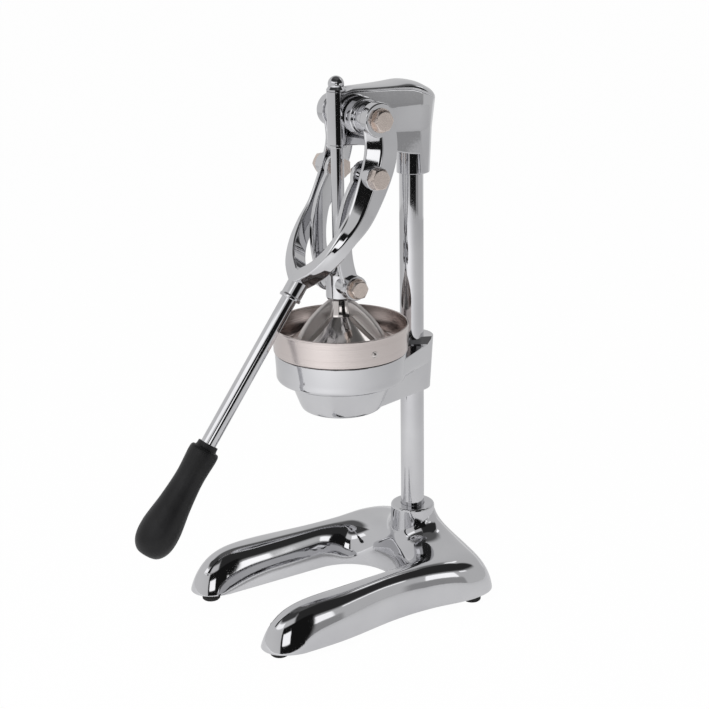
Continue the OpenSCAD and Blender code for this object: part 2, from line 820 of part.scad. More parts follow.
module bell_washer() {
    color(stainless) translate([0, 0, bell_top - bell_seat_t - bell_washer_t]) difference() {
        cylinder(h = bell_washer_t, r = bell_neck_r - bell_wall - 0.4);
        translate([0, 0, -1]) cylinder(h = bell_washer_t + 2, r = rod_d / 2 + fit_gap);
    }
}

module bell_nut() {
    color(stainless) translate([0, 0, bell_top - bell_seat_t - bell_washer_t - nut_t]) difference() {
        cylinder(h = nut_t, d = rod_flats / cos(30), $fn = 6);
        translate([0, 0, -1]) cylinder(h = nut_t + 2, r = rod_d / 2 + fit_gap);
    }
}

// Links and their bolts

link_eye_top = 14;
link_eye_low = 13;
eye_boss = 4.5;
top_boss_r = pivot_d / 2 + 3.5;
top_boss_end = arm_in - side_gap;
pin_thread_r = pin_d / 2 - 1;
pin_flats = 17;
pin_head_t = 6;
pin_washer_t = 1.5;
pivot_thread_r = pivot_d / 2 - 1;
pivot_thread = 18;
pivot_flats = 19;
pivot_head_t = 6;
pivot_washer_t = 1;
link_head_t = 8;
link_nut_t = 6;

// A link is a band bent on an arc that passes through its two bolts
chord = link_top - link_low;
chord_len = norm(chord);
link_bend = (pow(chord_len / 2, 2) + pow(link_bow, 2)) / (2 * link_bow);
bend_half = asin(chord_len / 2 / link_bend);
chord_angle = atan2(chord[1], chord[0]);
bend_centre = (link_top + link_low) / 2
    + (link_bend - link_bow) * [sin(chord_angle), -cos(chord_angle)];

// Side view of a link, as [y, z]: the bent band between two round eyes
module link_outline() {
    reach = 2 * link_bend;
    intersection() {
        translate(bend_centre) difference() {
            circle(link_bend + link_w / 2);
            circle(link_bend - link_w / 2);
        }
        polygon([
            bend_centre,
            bend_centre + reach * (link_top - bend_centre) / link_bend,
            bend_centre + 1.5 * reach / (link_bend - link_bow) * ((link_top + link_low) / 2 - bend_centre),
            bend_centre + reach * (link_low - bend_centre) / link_bend
        ]);
    }
    translate(link_top) circle(link_eye_top);
    translate(link_low) circle(link_eye_low);
}

module link(side) {
    color(chrome) on_side(side) difference() {
        union() {
            translate([link_in, 0, 0]) rotate([90, 0, 90])
                linear_extrude(height = link_t) link_outline();
            bar_x(link_top, link_in + 1, top_boss_end, top_boss_r);
            bar_x(link_low, link_in + 1, link_out + eye_boss, link_eye_low - 0.5);
        }
        bar_x(link_top, link_in - 1, arm_in, pivot_d / 2 + fit_gap);
        bar_x(link_low, link_in - 1, link_out + eye_boss + 1, pin_d / 2 + run_gap);
    }
}

// Inner end of each link bolt, with its nut
module link_nuts() {
    color(stainless) for (side = [-1, 1]) on_side(side) {
        translate([link_in - link_nut_t, link_top[0], link_top[1]]) rotate([0, 90, 0])
            cylinder(h = link_nut_t, d = pivot_flats / cos(30), $fn = 6);
        bar_x(link_top, link_in - eps, top_boss_end, pivot_d / 2);
    }
}

module crosshead_bolt(side) {
    head_in = link_out + eye_boss + side_gap + pin_washer_t;
    color(stainless) on_side(side)
        hex_bolt(link_low, head_in, pin_head_t, pin_flats,
                 crosshead_half, pin_d / 2, rod_d / 2 + 3, pin_thread_r);
}

module crosshead_washers() {
    color(stainless) for (side = [-1, 1]) on_side(side)
        washer_x(link_low, link_out + eye_boss + side_gap, pin_washer_t,
                 pin_d / 2 + fit_gap, pin_flats / 2 + 2);
}

module link_bolt(side) {
    color(stainless) on_side(side)
        hex_bolt(link_top, pad_out, link_head_t, pivot_flats,
                 arm_in + 4, pivot_d / 2, arm_in + side_gap, pivot_d / 2 - 0.5);
}

module pivot_bolt(side) {
    head_in = arm_out + side_gap + pivot_washer_t;
    color(stainless) on_side(side)
        hex_bolt(pivot, head_in, pivot_head_t, pivot_flats,
                 boss_end, pivot_d / 2, boss_end - pivot_thread + 2, pivot_thread_r);
}

module pivot_washers() {
    color(stainless) for (side = [-1, 1]) on_side(side)
        washer_x(pivot, arm_out + side_gap, pivot_washer_t,
                 pivot_d / 2 + fit_gap, pivot_flats / 2 + 2.5);
}

// Lever fork, bar and grip

arm_rows = 26;
eye_r = 17;
pad_r = 12;
hub_r = 10.4;
hub_len = 30;
bar_in_socket = 22;
bar_in_grip = 96;
socket_end = pivot - [socket_fore, socket_low];
fork_low = socket_end + 21 * [sin(bar_angle), cos(bar_angle)];

// Middle line of the right arm as [x, y, z], from the eye down to the round of the wishbone
arm_path = [
    [arm_mid, pivot[0] + 1, pivot[1]],
    [arm_mid, pivot[0] + 4, pivot[1] - 29],
    [arm_mid + 0.6, link_top[0] + 3.5, link_top[1]],
    [arm_mid + 1, link_top[0] - 14, link_top[1] - 36],
    [arm_mid - 0.5, link_top[0] - 31, link_top[1] - 57],
    [
        arm_mid - 6.5,
        mix(link_top[0] - 31, fork_low[0], 0.42), mix(link_top[1] - 57, fork_low[1], 0.38)
    ],
    [
        arm_mid - 19.5,
        mix(link_top[0] - 31, fork_low[0], 0.76), mix(link_top[1] - 57, fork_low[1], 0.72)
    ],
    [0, fork_low[0], fork_low[1]]
];
arm_depths = [arm_depth, arm_depth + 1, arm_depth, 26, 20.5, 18.5, 18.5, 20];
arm_thicks = [arm_t, arm_t, arm_t, arm_t, arm_t, arm_t + 0.5, arm_t + 2, arm_t + 3];

// Section of an arm in halves of its depth and thickness: plain, and with a broad bevel along its
// outer front edge; then the share of the bevel along the arm
arm_plain = [
    [1, 0.5], [0.95, 0.88], [0.82, 1], [-0.2, 1], [-0.82, 1], [-0.95, 0.88], [-1, 0.5],
    [-1, -0.5], [-0.95, -0.88], [-0.82, -1], [0.82, -1], [0.95, -0.88], [1, -0.5]
];
arm_bevelled = [
    [1, 0.5], [0.95, 0.88], [0.82, 1], [-0.2, 1], [-0.8, -0.1], [-0.93, -0.34], [-0.985, -0.5],
    [-1, -0.7], [-0.96, -0.92], [-0.82, -1], [0.82, -1], [0.95, -0.88], [1, -0.5]
];
arm_bevels = [1, 1, 1, 0.9, 0.6, 0.3, 0.1, 0];

function arm_point(t) = curve(arm_path, t);

// Section of the fork at t along the right arm, square to the arm's run
function arm_section(t) =
    let (
        last = len(arm_path) - 1,
        c = arm_point(t),
        along = t >= last
            ? [-1, 0, 0]
            : arm_point(min(t + 0.05, last)) - arm_point(max(t - 0.05, 0)),
        run = along / norm(along),
        ahead_raw = mix([0, -run[2], run[1]], [0, cos(bar_angle), -sin(bar_angle)], pow(t / last, 4)),
        ahead_flat = ahead_raw - run * (ahead_raw * run),
        ahead = ahead_flat / norm(ahead_flat),
        out = cross(run, ahead),
        depth = curve(arm_depths, t) / 2,
        thick = curve(arm_thicks, t) / 2,
        shape = mix(arm_plain, arm_bevelled, curve(arm_bevels, t))
    )
    [for (p = shape) c + ahead * depth * p[0] + out * thick * p[1]];

module lever_fork() {
    last = len(arm_path) - 1;
    half = [for (i = [0 : arm_rows]) arm_section(last * i / arm_rows)];
    color(chrome) difference() {
        union() {
            for (side = [-1, 1]) on_side(side) {
                loft(half);
                bar_x(pivot, arm_in, arm_out, eye_r);
                bar_x(link_top, arm_in + 1, pad_out, pad_r);
            }
            translate([0, socket_end[0], socket_end[1]]) rotate([180 - bar_angle, 0, 0])
                mirror([0, 0, 1]) {
                    cylinder(h = hub_len, r = hub_r);
                    cylinder(h = 3, r = hub_r + 0.8);
                }
        }
        for (side = [-1, 1]) on_side(side) {
            bar_x(pivot, arm_in - 5, arm_out + 5, pivot_d / 2 + run_gap);
            bar_x(link_top, arm_in - 5, pad_out + 5, pivot_d / 2 + fit_gap);
        }
        along_bar(-bar_in_socket) cylinder(h = bar_in_socket + 5, r = bar_d / 2 + fit_gap);
    }
}

// Places a piece on the lever's axis, s beyond the socket's end, pointing down to the grip
module along_bar(s) {
    translate([0, socket_end[0] - s * sin(bar_angle), socket_end[1] - s * cos(bar_angle)])
        rotate([180 - bar_angle, 0, 0]) children();
}

module lever_bar() {
    color(chrome) along_bar(-bar_in_socket + 0.5)
        cylinder(h = bar_in_socket - 0.5 + bar_len + bar_in_grip, r = bar_d / 2);
}

grip_steps = 40;
grip_side = [
    [10.6, 0], [11.2, 5], [14.4, 6.5], [15.4, 13], [14.4, 38], [16.6, 66],
    [grip_r, grip_len - 31], [grip_r - 1.6, grip_len - 13], [grip_r - 9, grip_len - 2.5], [0, grip_len]
];

module grip() {
    color(black) along_bar(bar_len) difference() {
        rotate_extrude() polygon(concat(
            [[0, 0]],
            [for (i = [0 : grip_steps])
                let (p = curve(grip_side, i * (len(grip_side) - 1) / grip_steps)) [max(p[0], 0), p[1]]]
        ));
        translate([0, 0, -1]) cylinder(h = bar_in_grip + 1 + fit_gap, r = bar_d / 2 + fit_gap);
    }
}

place() base_casting();
place() foot(false, true);  // foot_front_left
place() foot(true, true);  // foot_front_right
place() foot(false, false);  // foot_rear_left
place() foot(true, false);  // foot_rear_right
place() foot_screws();
place() column();
place() column_plug();
place() column_bolt();
place() column_washer();
place() head_casting();
place() head_set_screw();
place() bowl_holder();
place() holder_set_screw();
place() strainer_cup();
place() cup_rivets();
place() strainer_cone();
place() press_rod();
place() rod_cap();
place() crosshead();
place() crosshead_pin();
place() presser_bell();
place() bell_washer();
place() bell_nut();
place() crosshead_bolt(-1);  // crosshead_bolt_left
place() crosshead_bolt(1);  // crosshead_bolt_right
place() crosshead_washers();
place() link(-1);  // link_left
place() link(1);  // link_right
place() link_nuts();
place() lever_fork();
place() lever_bar();
place() grip();
place() link_bolt(-1);  // link_bolt_left
place() link_bolt(1);  // link_bolt_right
place() pivot_bolt(-1);  // pivot_bolt_left
place() pivot_bolt(1);  // pivot_bolt_right
place() pivot_washers();
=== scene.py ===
"""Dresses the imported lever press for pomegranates: fine surfaces, metal finishes, studio and camera.

Shapes are worked out in millimetres about the pressing axis (X across, Y towards the column, Z up)
and put into the meshes in metres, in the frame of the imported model.
"""

import json
from types import SimpleNamespace

import bmesh
import bpy
import numpy as np
from mathutils import Matrix, Vector

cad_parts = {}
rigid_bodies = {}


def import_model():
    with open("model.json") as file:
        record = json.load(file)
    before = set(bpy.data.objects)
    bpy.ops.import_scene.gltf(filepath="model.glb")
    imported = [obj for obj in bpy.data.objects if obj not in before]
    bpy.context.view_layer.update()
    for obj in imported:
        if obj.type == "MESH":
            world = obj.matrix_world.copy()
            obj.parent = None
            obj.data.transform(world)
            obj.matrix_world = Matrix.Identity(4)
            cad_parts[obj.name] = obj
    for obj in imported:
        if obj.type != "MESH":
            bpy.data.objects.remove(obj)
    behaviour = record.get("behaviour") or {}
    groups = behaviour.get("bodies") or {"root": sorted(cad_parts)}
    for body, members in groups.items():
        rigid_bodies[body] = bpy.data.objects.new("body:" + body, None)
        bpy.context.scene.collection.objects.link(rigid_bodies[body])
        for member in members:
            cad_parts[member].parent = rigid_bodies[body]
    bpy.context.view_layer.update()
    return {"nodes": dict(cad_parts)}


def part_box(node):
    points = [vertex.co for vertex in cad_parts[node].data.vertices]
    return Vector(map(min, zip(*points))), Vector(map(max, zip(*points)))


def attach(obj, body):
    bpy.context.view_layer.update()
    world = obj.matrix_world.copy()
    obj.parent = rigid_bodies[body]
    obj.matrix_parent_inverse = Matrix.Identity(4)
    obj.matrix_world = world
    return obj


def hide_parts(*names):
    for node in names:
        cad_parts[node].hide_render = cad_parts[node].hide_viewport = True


for leftover in list(bpy.data.objects):
    bpy.data.objects.remove(leftover)

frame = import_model()

bl_info = {
    "name": "Pomegranate lever press",
    "version": (1, 0, 0),
    "blender": (4, 5, 0),
    "location": "View3D > Sidebar > Press",
    "description": "Builds the finished surfaces, metal finishes and studio of a lever press",
    "category": "Object",
}

MM = 0.001
ROD_LOW, ROD_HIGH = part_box("press_rod")
AXIS_Y = (ROD_LOW.y + ROD_HIGH.y) / 2
AXIS = np.array([0.0, AXIS_Y, 0.0])
UP = np.array([0.0, 0.0, 1.0])
MIRROR = np.array([-1.0, 1.0, 1.0])
DONE = {"FINISHED"}


# Settings that a user would change


def length(label, text, value):
    """Length given in millimetres and kept in metres."""
    return bpy.props.FloatProperty(
        name=label, description=text, default=value * MM, min=0.0, precision=4,
        subtype="DISTANCE", unit="LENGTH",
    )


def turn(label, text, degrees):
    """Angle given in degrees and kept in radians."""
    return bpy.props.FloatProperty(
        name=label, description=text, default=float(np.radians(degrees)), subtype="ANGLE",
        unit="ROTATION",
    )


def tint(label, text, value):
    """Linear colour."""
    return bpy.props.FloatVectorProperty(
        name=label, description=text, default=value, size=3, min=0.0, max=1.0, subtype="COLOR",
    )


def share(label, text, value, most=1.0):
    """Plain number without a unit."""
    return bpy.props.FloatProperty(
        name=label, description=text, default=value, min=0.0, max=most, subtype="FACTOR",
    )


class PressBaseSizes(bpy.types.PropertyGroup):
    """Sizes of the horseshoe base."""

    foot_h: length("Foot height", "Height of a rubber foot", 9.5)
    gap_half: length("Gap half", "Half of the gap between the prongs", 54)
    gap_back: length("Gap end", "Gap's round end behind the pressing axis", 56)
    prong_w: length("Prong width", "Width of a prong at its tip", 48)
    prong_reach: length("Prong reach", "Pressing axis to the centre of a prong's tip", 110)
    waist_half: length("Waist half", "Half width of the base at its waist", 92.5)
    rear_half: length("Rear half", "Half width of the base at its rear corners", 101)
    base_back: length("Rear edge", "Rear edge behind the pressing axis", 142)
    base_h: length("Crown height", "Height of the crown above the lower edge", 43.5)
    wall: length("Wall", "Wall of the casting", 5)
    boss_top: length("Boss top", "Height of the column boss above the table", 87)
    boss_r: length("Boss radius", "Radius of the column boss at its top", 23.5)


class PressStandSizes(bpy.types.PropertyGroup):
    """Sizes of the column, the head and the bowl."""

    column_d: length("Column diameter", "Diameter of the column tube", 25)
    column_back: length("Column place", "Pressing axis to the column axis", 88)
    holder_z: length("Holder rim", "Height of the holder's rim above the table", 278)
    cup_r: length("Cup radius", "Radius of the strainer cup", 69.5)
    cup_h: length("Cup height", "Height of the cup above the holder", 28.7)
    cup_wall: length("Cup sheet", "Sheet thickness of the cup", 1.2)
    band_h: length("Band height", "Height of the holder's upright band", 29)
    funnel_h: length("Funnel height", "Height of the funnel under the band", 32)
    outlet_r: length("Outlet radius", "Radius of the juice outlet", 16)
    clamp_r: length("Clamp radius", "Radius of the clamp round the column at its top", 22.5)
    sleeve_z: length("Sleeve height", "Lower end of the guide sleeve above the table", 487)
    sleeve_len: length("Sleeve length", "Length of the guide sleeve", 55)
    sleeve_r: length("Sleeve radius", "Outer radius of the guide sleeve", 9.6)
    back_r: length("Head back radius", "Radius of the head's rounded back", 24)
    socket_drop: length("Socket depth", "Column socket below the sleeve's end", 35.5)
    pivot_back: length("Pivot place", "Lever pivot behind the pressing axis", 21.5)
    pivot_rise: length("Pivot height", "Lever pivot above the sleeve's lower end", 30)


class PressLeverSizes(bpy.types.PropertyGroup):
    """Sizes of the lever, the links and the plunger."""

    crank: length("Crank", "Lever pivot to the links' upper bolts", 56)
    crank_angle: turn("Crank angle", "Angle of the crank forward of straight down", 6.7)
    fork_half: length("Fork half", "Half of the gap between the fork's arms", 34)
    arm_t: length("Arm thickness", "Thickness of a fork arm", 12)
    arm_depth: length("Arm depth", "Depth of a fork arm at its pivot", 32)
    socket_fore: length("Socket fore", "Socket's lower end ahead of the pivot", 80.6)
    socket_low: length("Socket drop", "Socket's lower end below the pivot", 175.5)
    bar_angle: turn("Bar angle", "Angle of the lever bar from straight down", 36.1)
    bar_d: length("Bar diameter", "Diameter of the lever bar", 16)
    bar_len: length("Bar length", "Bar in view between the socket and the grip", 164)
    grip_len: length("Grip length", "Length of the grip", 126)
    grip_r: length("Grip radius", "Radius of the grip's bulb", 20.5)
    rod_d: length("Rod diameter", "Diameter of the press rod", 13)
    bell_h: length("Bell height", "Height of the bell", 45.5)
    bell_r: length("Bell radius", "Radius of the bell's lower edge", 54)
    bell_wall: length("Bell sheet", "Sheet thickness of the bell", 2)
    pin_rise: length("Crosshead bolts", "Crosshead bolts above the bell's top", 17)
    crosshead_r: length("Crosshead radius", "Radius of the crosshead's body", 14)
    crosshead_half: length("Crosshead half", "Half width across the crosshead's bosses", 21)
    link_t: length("Link thickness", "Thickness of a link", 6)
    link_w: length("Link width", "Width of a link between its eyes", 17)
    link_bow: length("Link bow", "How far a link bows forward", 16.5)


class PressFinishes(bpy.types.PropertyGroup):
    """Colours and polish of the finishes."""

    chrome: tint("Chrome", "Colour of the chrome plate", (0.70, 0.70, 0.715))
    chrome_haze: tint("Chrome haze", "Colour of the plate where it is hazed", (0.60, 0.60, 0.62))
    steel: tint("Stainless", "Colour of the stainless sheet", (0.72, 0.655, 0.635))
    steel_dark: tint("Stainless, dark", "Colour of the brush marks", (0.655, 0.59, 0.57))
    bell: tint("Bell", "Colour of the polished bell", (0.70, 0.67, 0.655))
    bolt: tint("Bolts", "Colour of the hex bolts and washers", (0.78, 0.685, 0.63))
    grip: tint("Grip", "Colour of the grip", (0.006, 0.006, 0.0065))
    rubber: tint("Rubber", "Colour of the feet", (0.012, 0.012, 0.012))
    polish: share("Polish", "Roughness of the chrome", 0.045)
    brush: share("Brush", "Roughness of the stainless sheet", 0.22)


class PressStage(bpy.types.PropertyGroup):
    """Camera and studio."""

    camera_turn: turn("Camera turn", "Turn of the camera round the press", 58.352)
    camera_far: length("Camera distance", "Level distance of the camera", 1534.732)
    camera_high: length("Camera height", "Height of the camera above the table", 775.605)
    camera_pitch: turn("Camera pitch", "Downward tilt of the camera", 18.163)
    camera_roll: turn("Camera roll", "Roll of the camera", -0.917)
    camera_yaw: turn("Camera yaw", "Sideways aim of the camera", 0.516)
    lens: bpy.props.FloatProperty(
        name="Lens", description="Focal length for a 36 mm wide picture", default=80.01,
        unit="CAMERA",
    )
    floor: tint("Floor", "Colour of the floor", (0.86, 0.86, 0.865))
    ambient: share("Ambient", "Strength of the even light", 0.26, 2.0)


# Clearances and steps that several pieces share, in millimetres
FIT = 0.05
SIDE_GAP = 0.3
BELL_RISE = 9.0
BAND_STEP, BAND_WALL = 1.7, 4.5
LINK_PAD, BOLT_PAD, WASHER = 4.5, 2.4, 1.5


def in_mm(*groups):
    """All lengths of settings groups in millimetres, and their angles in radians."""
    return SimpleNamespace(**{
        p.identifier: getattr(group, p.identifier) / (MM if p.unit == "LENGTH" else 1.0)
        for group in groups for p in group.bl_rna.properties if p.type == "FLOAT" and not p.is_array
    })


def press_sizes():
    """All sizes of the press, and what follows from them; a pivot's place is (y, z)."""
    scene = bpy.context.scene
    s = in_mm(scene.press_base, scene.press_stand, scene.press_lever)
    s.column_bore, s.rod_bore, s.bar_bore = (d / 2 + FIT for d in (s.column_d, s.rod_d, s.bar_d))
    s.sleeve_top = s.sleeve_z + s.sleeve_len
    s.socket_z = s.sleeve_z - s.socket_drop
    s.band_r, s.band_low = s.cup_r - BAND_STEP, s.holder_z - s.band_h
    s.band_in, s.funnel_low = s.band_r - BAND_WALL, s.band_low - s.funnel_h
    s.bell_low = s.holder_z + BELL_RISE
    s.bell_top = s.bell_low + s.bell_h
    s.pivot = np.array([s.pivot_back, s.sleeve_z + s.pivot_rise])
    s.link_top = s.pivot - s.crank * np.array([np.sin(s.crank_angle), np.cos(s.crank_angle)])
    s.link_low = np.array([0.0, s.bell_top + s.pin_rise])
    s.link_in = s.crosshead_half + SIDE_GAP
    s.link_out = s.link_in + s.link_t + LINK_PAD
    s.fork_in = s.fork_half - SIDE_GAP
    s.arm_out, s.arm_mid = s.fork_half + s.arm_t, s.fork_half + s.arm_t / 2
    s.pad_out = s.arm_out + BOLT_PAD
    s.socket_end = s.pivot - np.array([s.socket_fore, s.socket_low])
    s.bar_run = np.array([0.0, -np.sin(s.bar_angle), -np.cos(s.bar_angle)])
    return s


# Curves and surfaces as whole arrays


def mix(a, b, t):
    """Value at the share t of the way from a to b."""
    return a + (b - a) * t


def ramp(x, start, end):
    """Share of the way from start to end that x has gone, held between 0 and 1."""
    return np.clip((x - start) / (end - start), 0, 1)


def ease(t):
    """Share from 0 to 1 with a soft start and end."""
    return t**2 * (3 - 2 * t)


def unit(v):
    """Vectors brought to a length of 1."""
    return v / np.linalg.norm(v, axis=-1, keepdims=True)


def around(cols):
    """Even angles round a circle."""
    return np.linspace(0, 2 * np.pi, cols, endpoint=False)


def squash(wave, power):
    """Sine or cosine of a rounded square: its size raised to 2/power, with its own sign."""
    return np.sign(wave) * np.abs(wave) ** (2 / power)


def spline(points, t):
    """Smooth cubic through the points, whose slope at each is half the step across it; t counts points."""
    p, t = np.asarray(points, float), np.asarray(t, float)
    last = len(p) - 1
    i = np.clip(np.floor(t).astype(int), 0, last - 1)
    f = (t - i)[..., None] if p.ndim > 1 else t - i
    a, b, c, d = p[np.maximum(i - 1, 0)], p[i], p[i + 1], p[np.minimum(i + 2, last)]
    bend, twist = 2 * a - 5 * b + 4 * c - d, 3 * b - a - 3 * c + d
    return (2 * b + (c - a) * f + bend * f**2 + twist * f**3) / 2


def smooth(points, count):
    """The smooth cubic at even steps from the first point to the last."""
    return spline(points, np.linspace(0, len(points) - 1, count))


def soften(corners, reach, steps=7, closed=False, most=0.48):
    """Corners rounded off: at each one a parabola from a point `reach` before it to one as far after it.

    The reach is held to a share of the shorter side. Many outlines of like corners go together, one a row.
    """
    p = np.asarray(corners, float)
    r = np.broadcast_to(np.asarray(reach, float), p.shape[-2]).copy()
    if not closed:
        r[[0, -1]] = 0
    before, after = np.roll(p, 1, -2) - p, np.roll(p, -1, -2) - p
    long_b, long_a = (np.maximum(np.linalg.norm(v, axis=-1, keepdims=True), 1e-9) for v in (before, after))
    r = np.minimum(r[:, None], most * np.minimum(long_b, long_a))
    start, end = (p + before * (r / long_b))[..., None, :], (p + after * (r / long_a))[..., None, :]
    t = np.linspace(0, 1, steps)[:, None]
    arcs = (1 - t) ** 2 * start + 2 * t * (1 - t) * p[..., None, :] + t**2 * end
    return arcs.reshape(*p.shape[:-2], -1, p.shape[-1])


def lathe(profile, at, run=UP, cols=96, loop=False):
    """Surface of a turned profile: (radius, height) rows carried round the run through `at`."""
    w = unit(np.asarray(run, float))
    u = np.array([0.0, 1.0, 0.0]) if abs(w[0]) > 0.9 else np.array([1.0, 0.0, 0.0])
    u = unit(u - w * (u @ w))
    v = np.cross(w, u)
    a = around(cols)[None, :, None]
    r, h = np.asarray(profile, float).T[..., None, None]
    return np.asarray(at, float) + r * np.cos(a) * u + r * np.sin(a) * v + h * w, loop, True


def turned(corners, reach, steps, at=(0, 0, 0), run=UP, cols=120):
    """Wall turned from a closed outline of (radius, height) corners, rounded off."""
    return lathe(soften(corners, reach, steps, True), at, run, cols, True)


def bar_along_x(at, x0, x1, radius, edge=0.8, cols=72, steps=7):
    """Round bar along X on the line through (y, z), its ends' edges rounded."""
    corners = [(0, x0), (radius, x0), (radius, x1), (0, x1)]
    return lathe(soften(corners, edge, steps), (0, *at), (1, 0, 0), cols)


def capped(rings):
    """Rings with a point at each end, so that the skin closes there."""
    first, last = (np.broadcast_to(r.mean(1, keepdims=True), r.shape) for r in (rings[:1], rings[-1:]))
    return np.concatenate([first, rings, last])


def mirrored(patch):
    """The same surface on the other side of the press."""
    points, loop, ring = patch
    return points * MIRROR, loop, ring


def both_sides(*patches):
    """Each surface, followed by the same on the other side."""
    return [side for patch in patches for side in (patch, mirrored(patch))]


def grid_quads(rows, cols, loop, ring, first=0):
    """Quads that join each point of a grid to its neighbours; loop closes the rows and ring the columns."""
    i, j = np.meshgrid(
        np.arange(rows if loop else rows - 1), np.arange(cols if ring else cols - 1), indexing="ij"
    )
    k, m = (i + 1) % rows, (j + 1) % cols
    return first + np.stack([i * cols + j, i * cols + m, k * cols + m, k * cols + j], -1).reshape(-1, 4)


# Pieces

MERGE, SLIVER = 2e-6, 1e-7


def put(name, data):
    """New object in the scene."""
    made = bpy.data.objects.new(name, data)
    bpy.context.scene.collection.objects.link(made)
    return made


def build(name, patches, body, node, finish, sharp=38.0, even=True):
    """Mesh of all patches as one piece on its CAD body, in the place of the CAD node it stands for."""
    verts, quads, first = [], [], 0
    for points, loop, ring in patches:
        rows, cols = points.shape[:2]
        verts.append(points.reshape(-1, 3))
        quads.append(grid_quads(rows, cols, loop, ring, first))
        first += rows * cols
    mesh = bpy.data.meshes.new(name)
    mesh.from_pydata(np.concatenate(verts) * MM + AXIS, [], np.concatenate(quads))
    work = bmesh.new()
    work.from_mesh(mesh)
    bmesh.ops.remove_doubles(work, verts=work.verts, dist=MERGE)
    bmesh.ops.dissolve_degenerate(work, edges=work.edges, dist=SLIVER)
    bmesh.ops.recalc_face_normals(work, faces=work.faces)
    work.to_mesh(mesh)
    work.free()
    mesh.shade_smooth()
    mesh.set_sharp_from_angle(angle=float(np.radians(sharp)))
    mesh.materials.append(finish_named(finish))
    piece = put(name, mesh)
    if even:
        piece.modifiers.new("even_shading", "WEIGHTED_NORMAL").keep_sharp = True
    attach(piece, body)
    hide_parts(node)
    return piece


def build_sides(name, patches, body, node, finish, sharp=38.0):
    """A piece on the right and its mirror image on the left, each for its own side's node."""
    for side, skins in (("right", patches), ("left", [mirrored(p) for p in patches])):
        build(f"{name}_{side}", skins, body, f"{node}_{side}", finish, sharp)


# Finishes: scales are counts a metre, reliefs are in metres

# Places of the colour sockets of a Mix node
MIX_LOW, MIX_HIGH, MIX_OUT = 6, 7, 2
METAL, DULL = {"Metallic": 1.0}, {"Specular IOR Level": 0.3}
DRAW_LINES = (900.0, 900.0, 9.0)
BELL_POLISH = 0.45
SATIN_RUB = 0.34


def fill(tree, node, sockets):
    """Each socket of a node gets a link where an output is given, or else the value."""
    for key, value in dict(sockets).items():
        if isinstance(value, bpy.types.NodeSocket):
            tree.links.new(value, node.inputs[key])
        else:
            node.inputs[key].default_value = value


def add(tree, kind, sockets=(), **settings):
    """New shader node with its settings and sockets."""
    node = tree.nodes.new("ShaderNode" + kind)
    for name, value in settings.items():
        setattr(node, name, value)
    fill(tree, node, sockets)
    return node


def maths(tree, operation, *values):
    """Result of one step of arithmetic."""
    return add(tree, "Math", enumerate(values), operation=operation).outputs[0]


def fresh_tree(block):
    """Emptied node tree of a new material or world."""
    block.use_nodes = True
    block.node_tree.nodes.clear()
    return block.node_tree


def start_finish(name):
    """Tree of a new material with one shader, and the object coordinates that its patterns read."""
    tree = fresh_tree(bpy.data.materials.new(name))
    shader = add(tree, "BsdfPrincipled")
    add(tree, "OutputMaterial", {"Surface": shader.outputs["BSDF"]})
    return tree, shader, add(tree, "TexCoord").outputs["Object"]


def noise(tree, place, scale, detail=2.0):
    """Cloudy pattern."""
    return add(tree, "TexNoise", {"Vector": place, "Scale": scale, "Detail": detail}).outputs["Fac"]


def spread(tree, value, low, high, start=0.3, end=0.7):
    """Value stretched from start..end onto low..high."""
    sockets = {"Value": value, "From Min": start, "From Max": end, "To Min": low, "To Max": high}
    return add(tree, "MapRange", sockets).outputs["Result"]


def clouds(tree, place, scale, detail, start=0.3):
    """Cloudy pattern stretched over 0 to 1."""
    return spread(tree, noise(tree, place, scale, detail), 0.0, 1.0, start)


def blend_colours(tree, value, low, high):
    """Colour between two by a value from 0 to 1."""
    sockets = {"Factor": value, MIX_LOW: (*low, 1.0), MIX_HIGH: (*high, 1.0)}
    return add(tree, "Mix", sockets, data_type="RGBA").outputs[MIX_OUT]


def shades(tree, value, colour, times):
    """Colour between one and the same made darker or paler."""
    return blend_colours(tree, value, colour, [times * c for c in colour])


def bump(tree, height, depth, strength, **under):
    """Fine relief from a height pattern, laid over another relief."""
    sockets = {"Strength": strength, "Distance": depth, "Height": height, **under}
    return add(tree, "Bump", sockets).outputs["Normal"]


def dress(tree, shader, colour, rough, normal, plain=METAL):
    """The shader's colour, roughness and relief, and its plain values."""
    fill(tree, shader, {"Base Color": colour, "Roughness": rough, "Normal": normal, **plain})


def cast_chrome(name, f):
    """Plated casting: a slow wave left by hand polishing, fine pits, and haze that varies the polish."""
    tree, shader, place = start_finish(name)
    colour = blend_colours(tree, clouds(tree, place, scale=11.0, detail=3.0), f.chrome, f.chrome_haze)
    fine = noise(tree, place, scale=420.0)
    wave = bump(tree, noise(tree, place, scale=16.0, detail=1.0), depth=0.0007, strength=0.35)
    pits = bump(tree, fine, depth=0.00002, strength=0.25, Normal=wave)
    dress(tree, shader, colour, spread(tree, fine, f.polish * 0.7, f.polish * 1.6), pits)


def drawn_chrome(name, f, lean):
    """Plated tube or bar: long faint draw lines along its length and a slightly varied polish."""
    tree, shader, place = start_finish(name)
    colour = blend_colours(tree, clouds(tree, place, scale=14.0, detail=3.0), f.chrome, f.chrome_haze)
    along = add(tree, "Mapping", {"Vector": place, "Scale": DRAW_LINES, "Rotation": (lean, 0.0, 0.0)})
    lines = noise(tree, along.outputs["Vector"], scale=1.0, detail=3.0)
    rough = spread(tree, lines, f.polish * 0.6, f.polish * 1.5)
    dress(tree, shader, colour, rough, bump(tree, lines, depth=0.000012, strength=0.3))


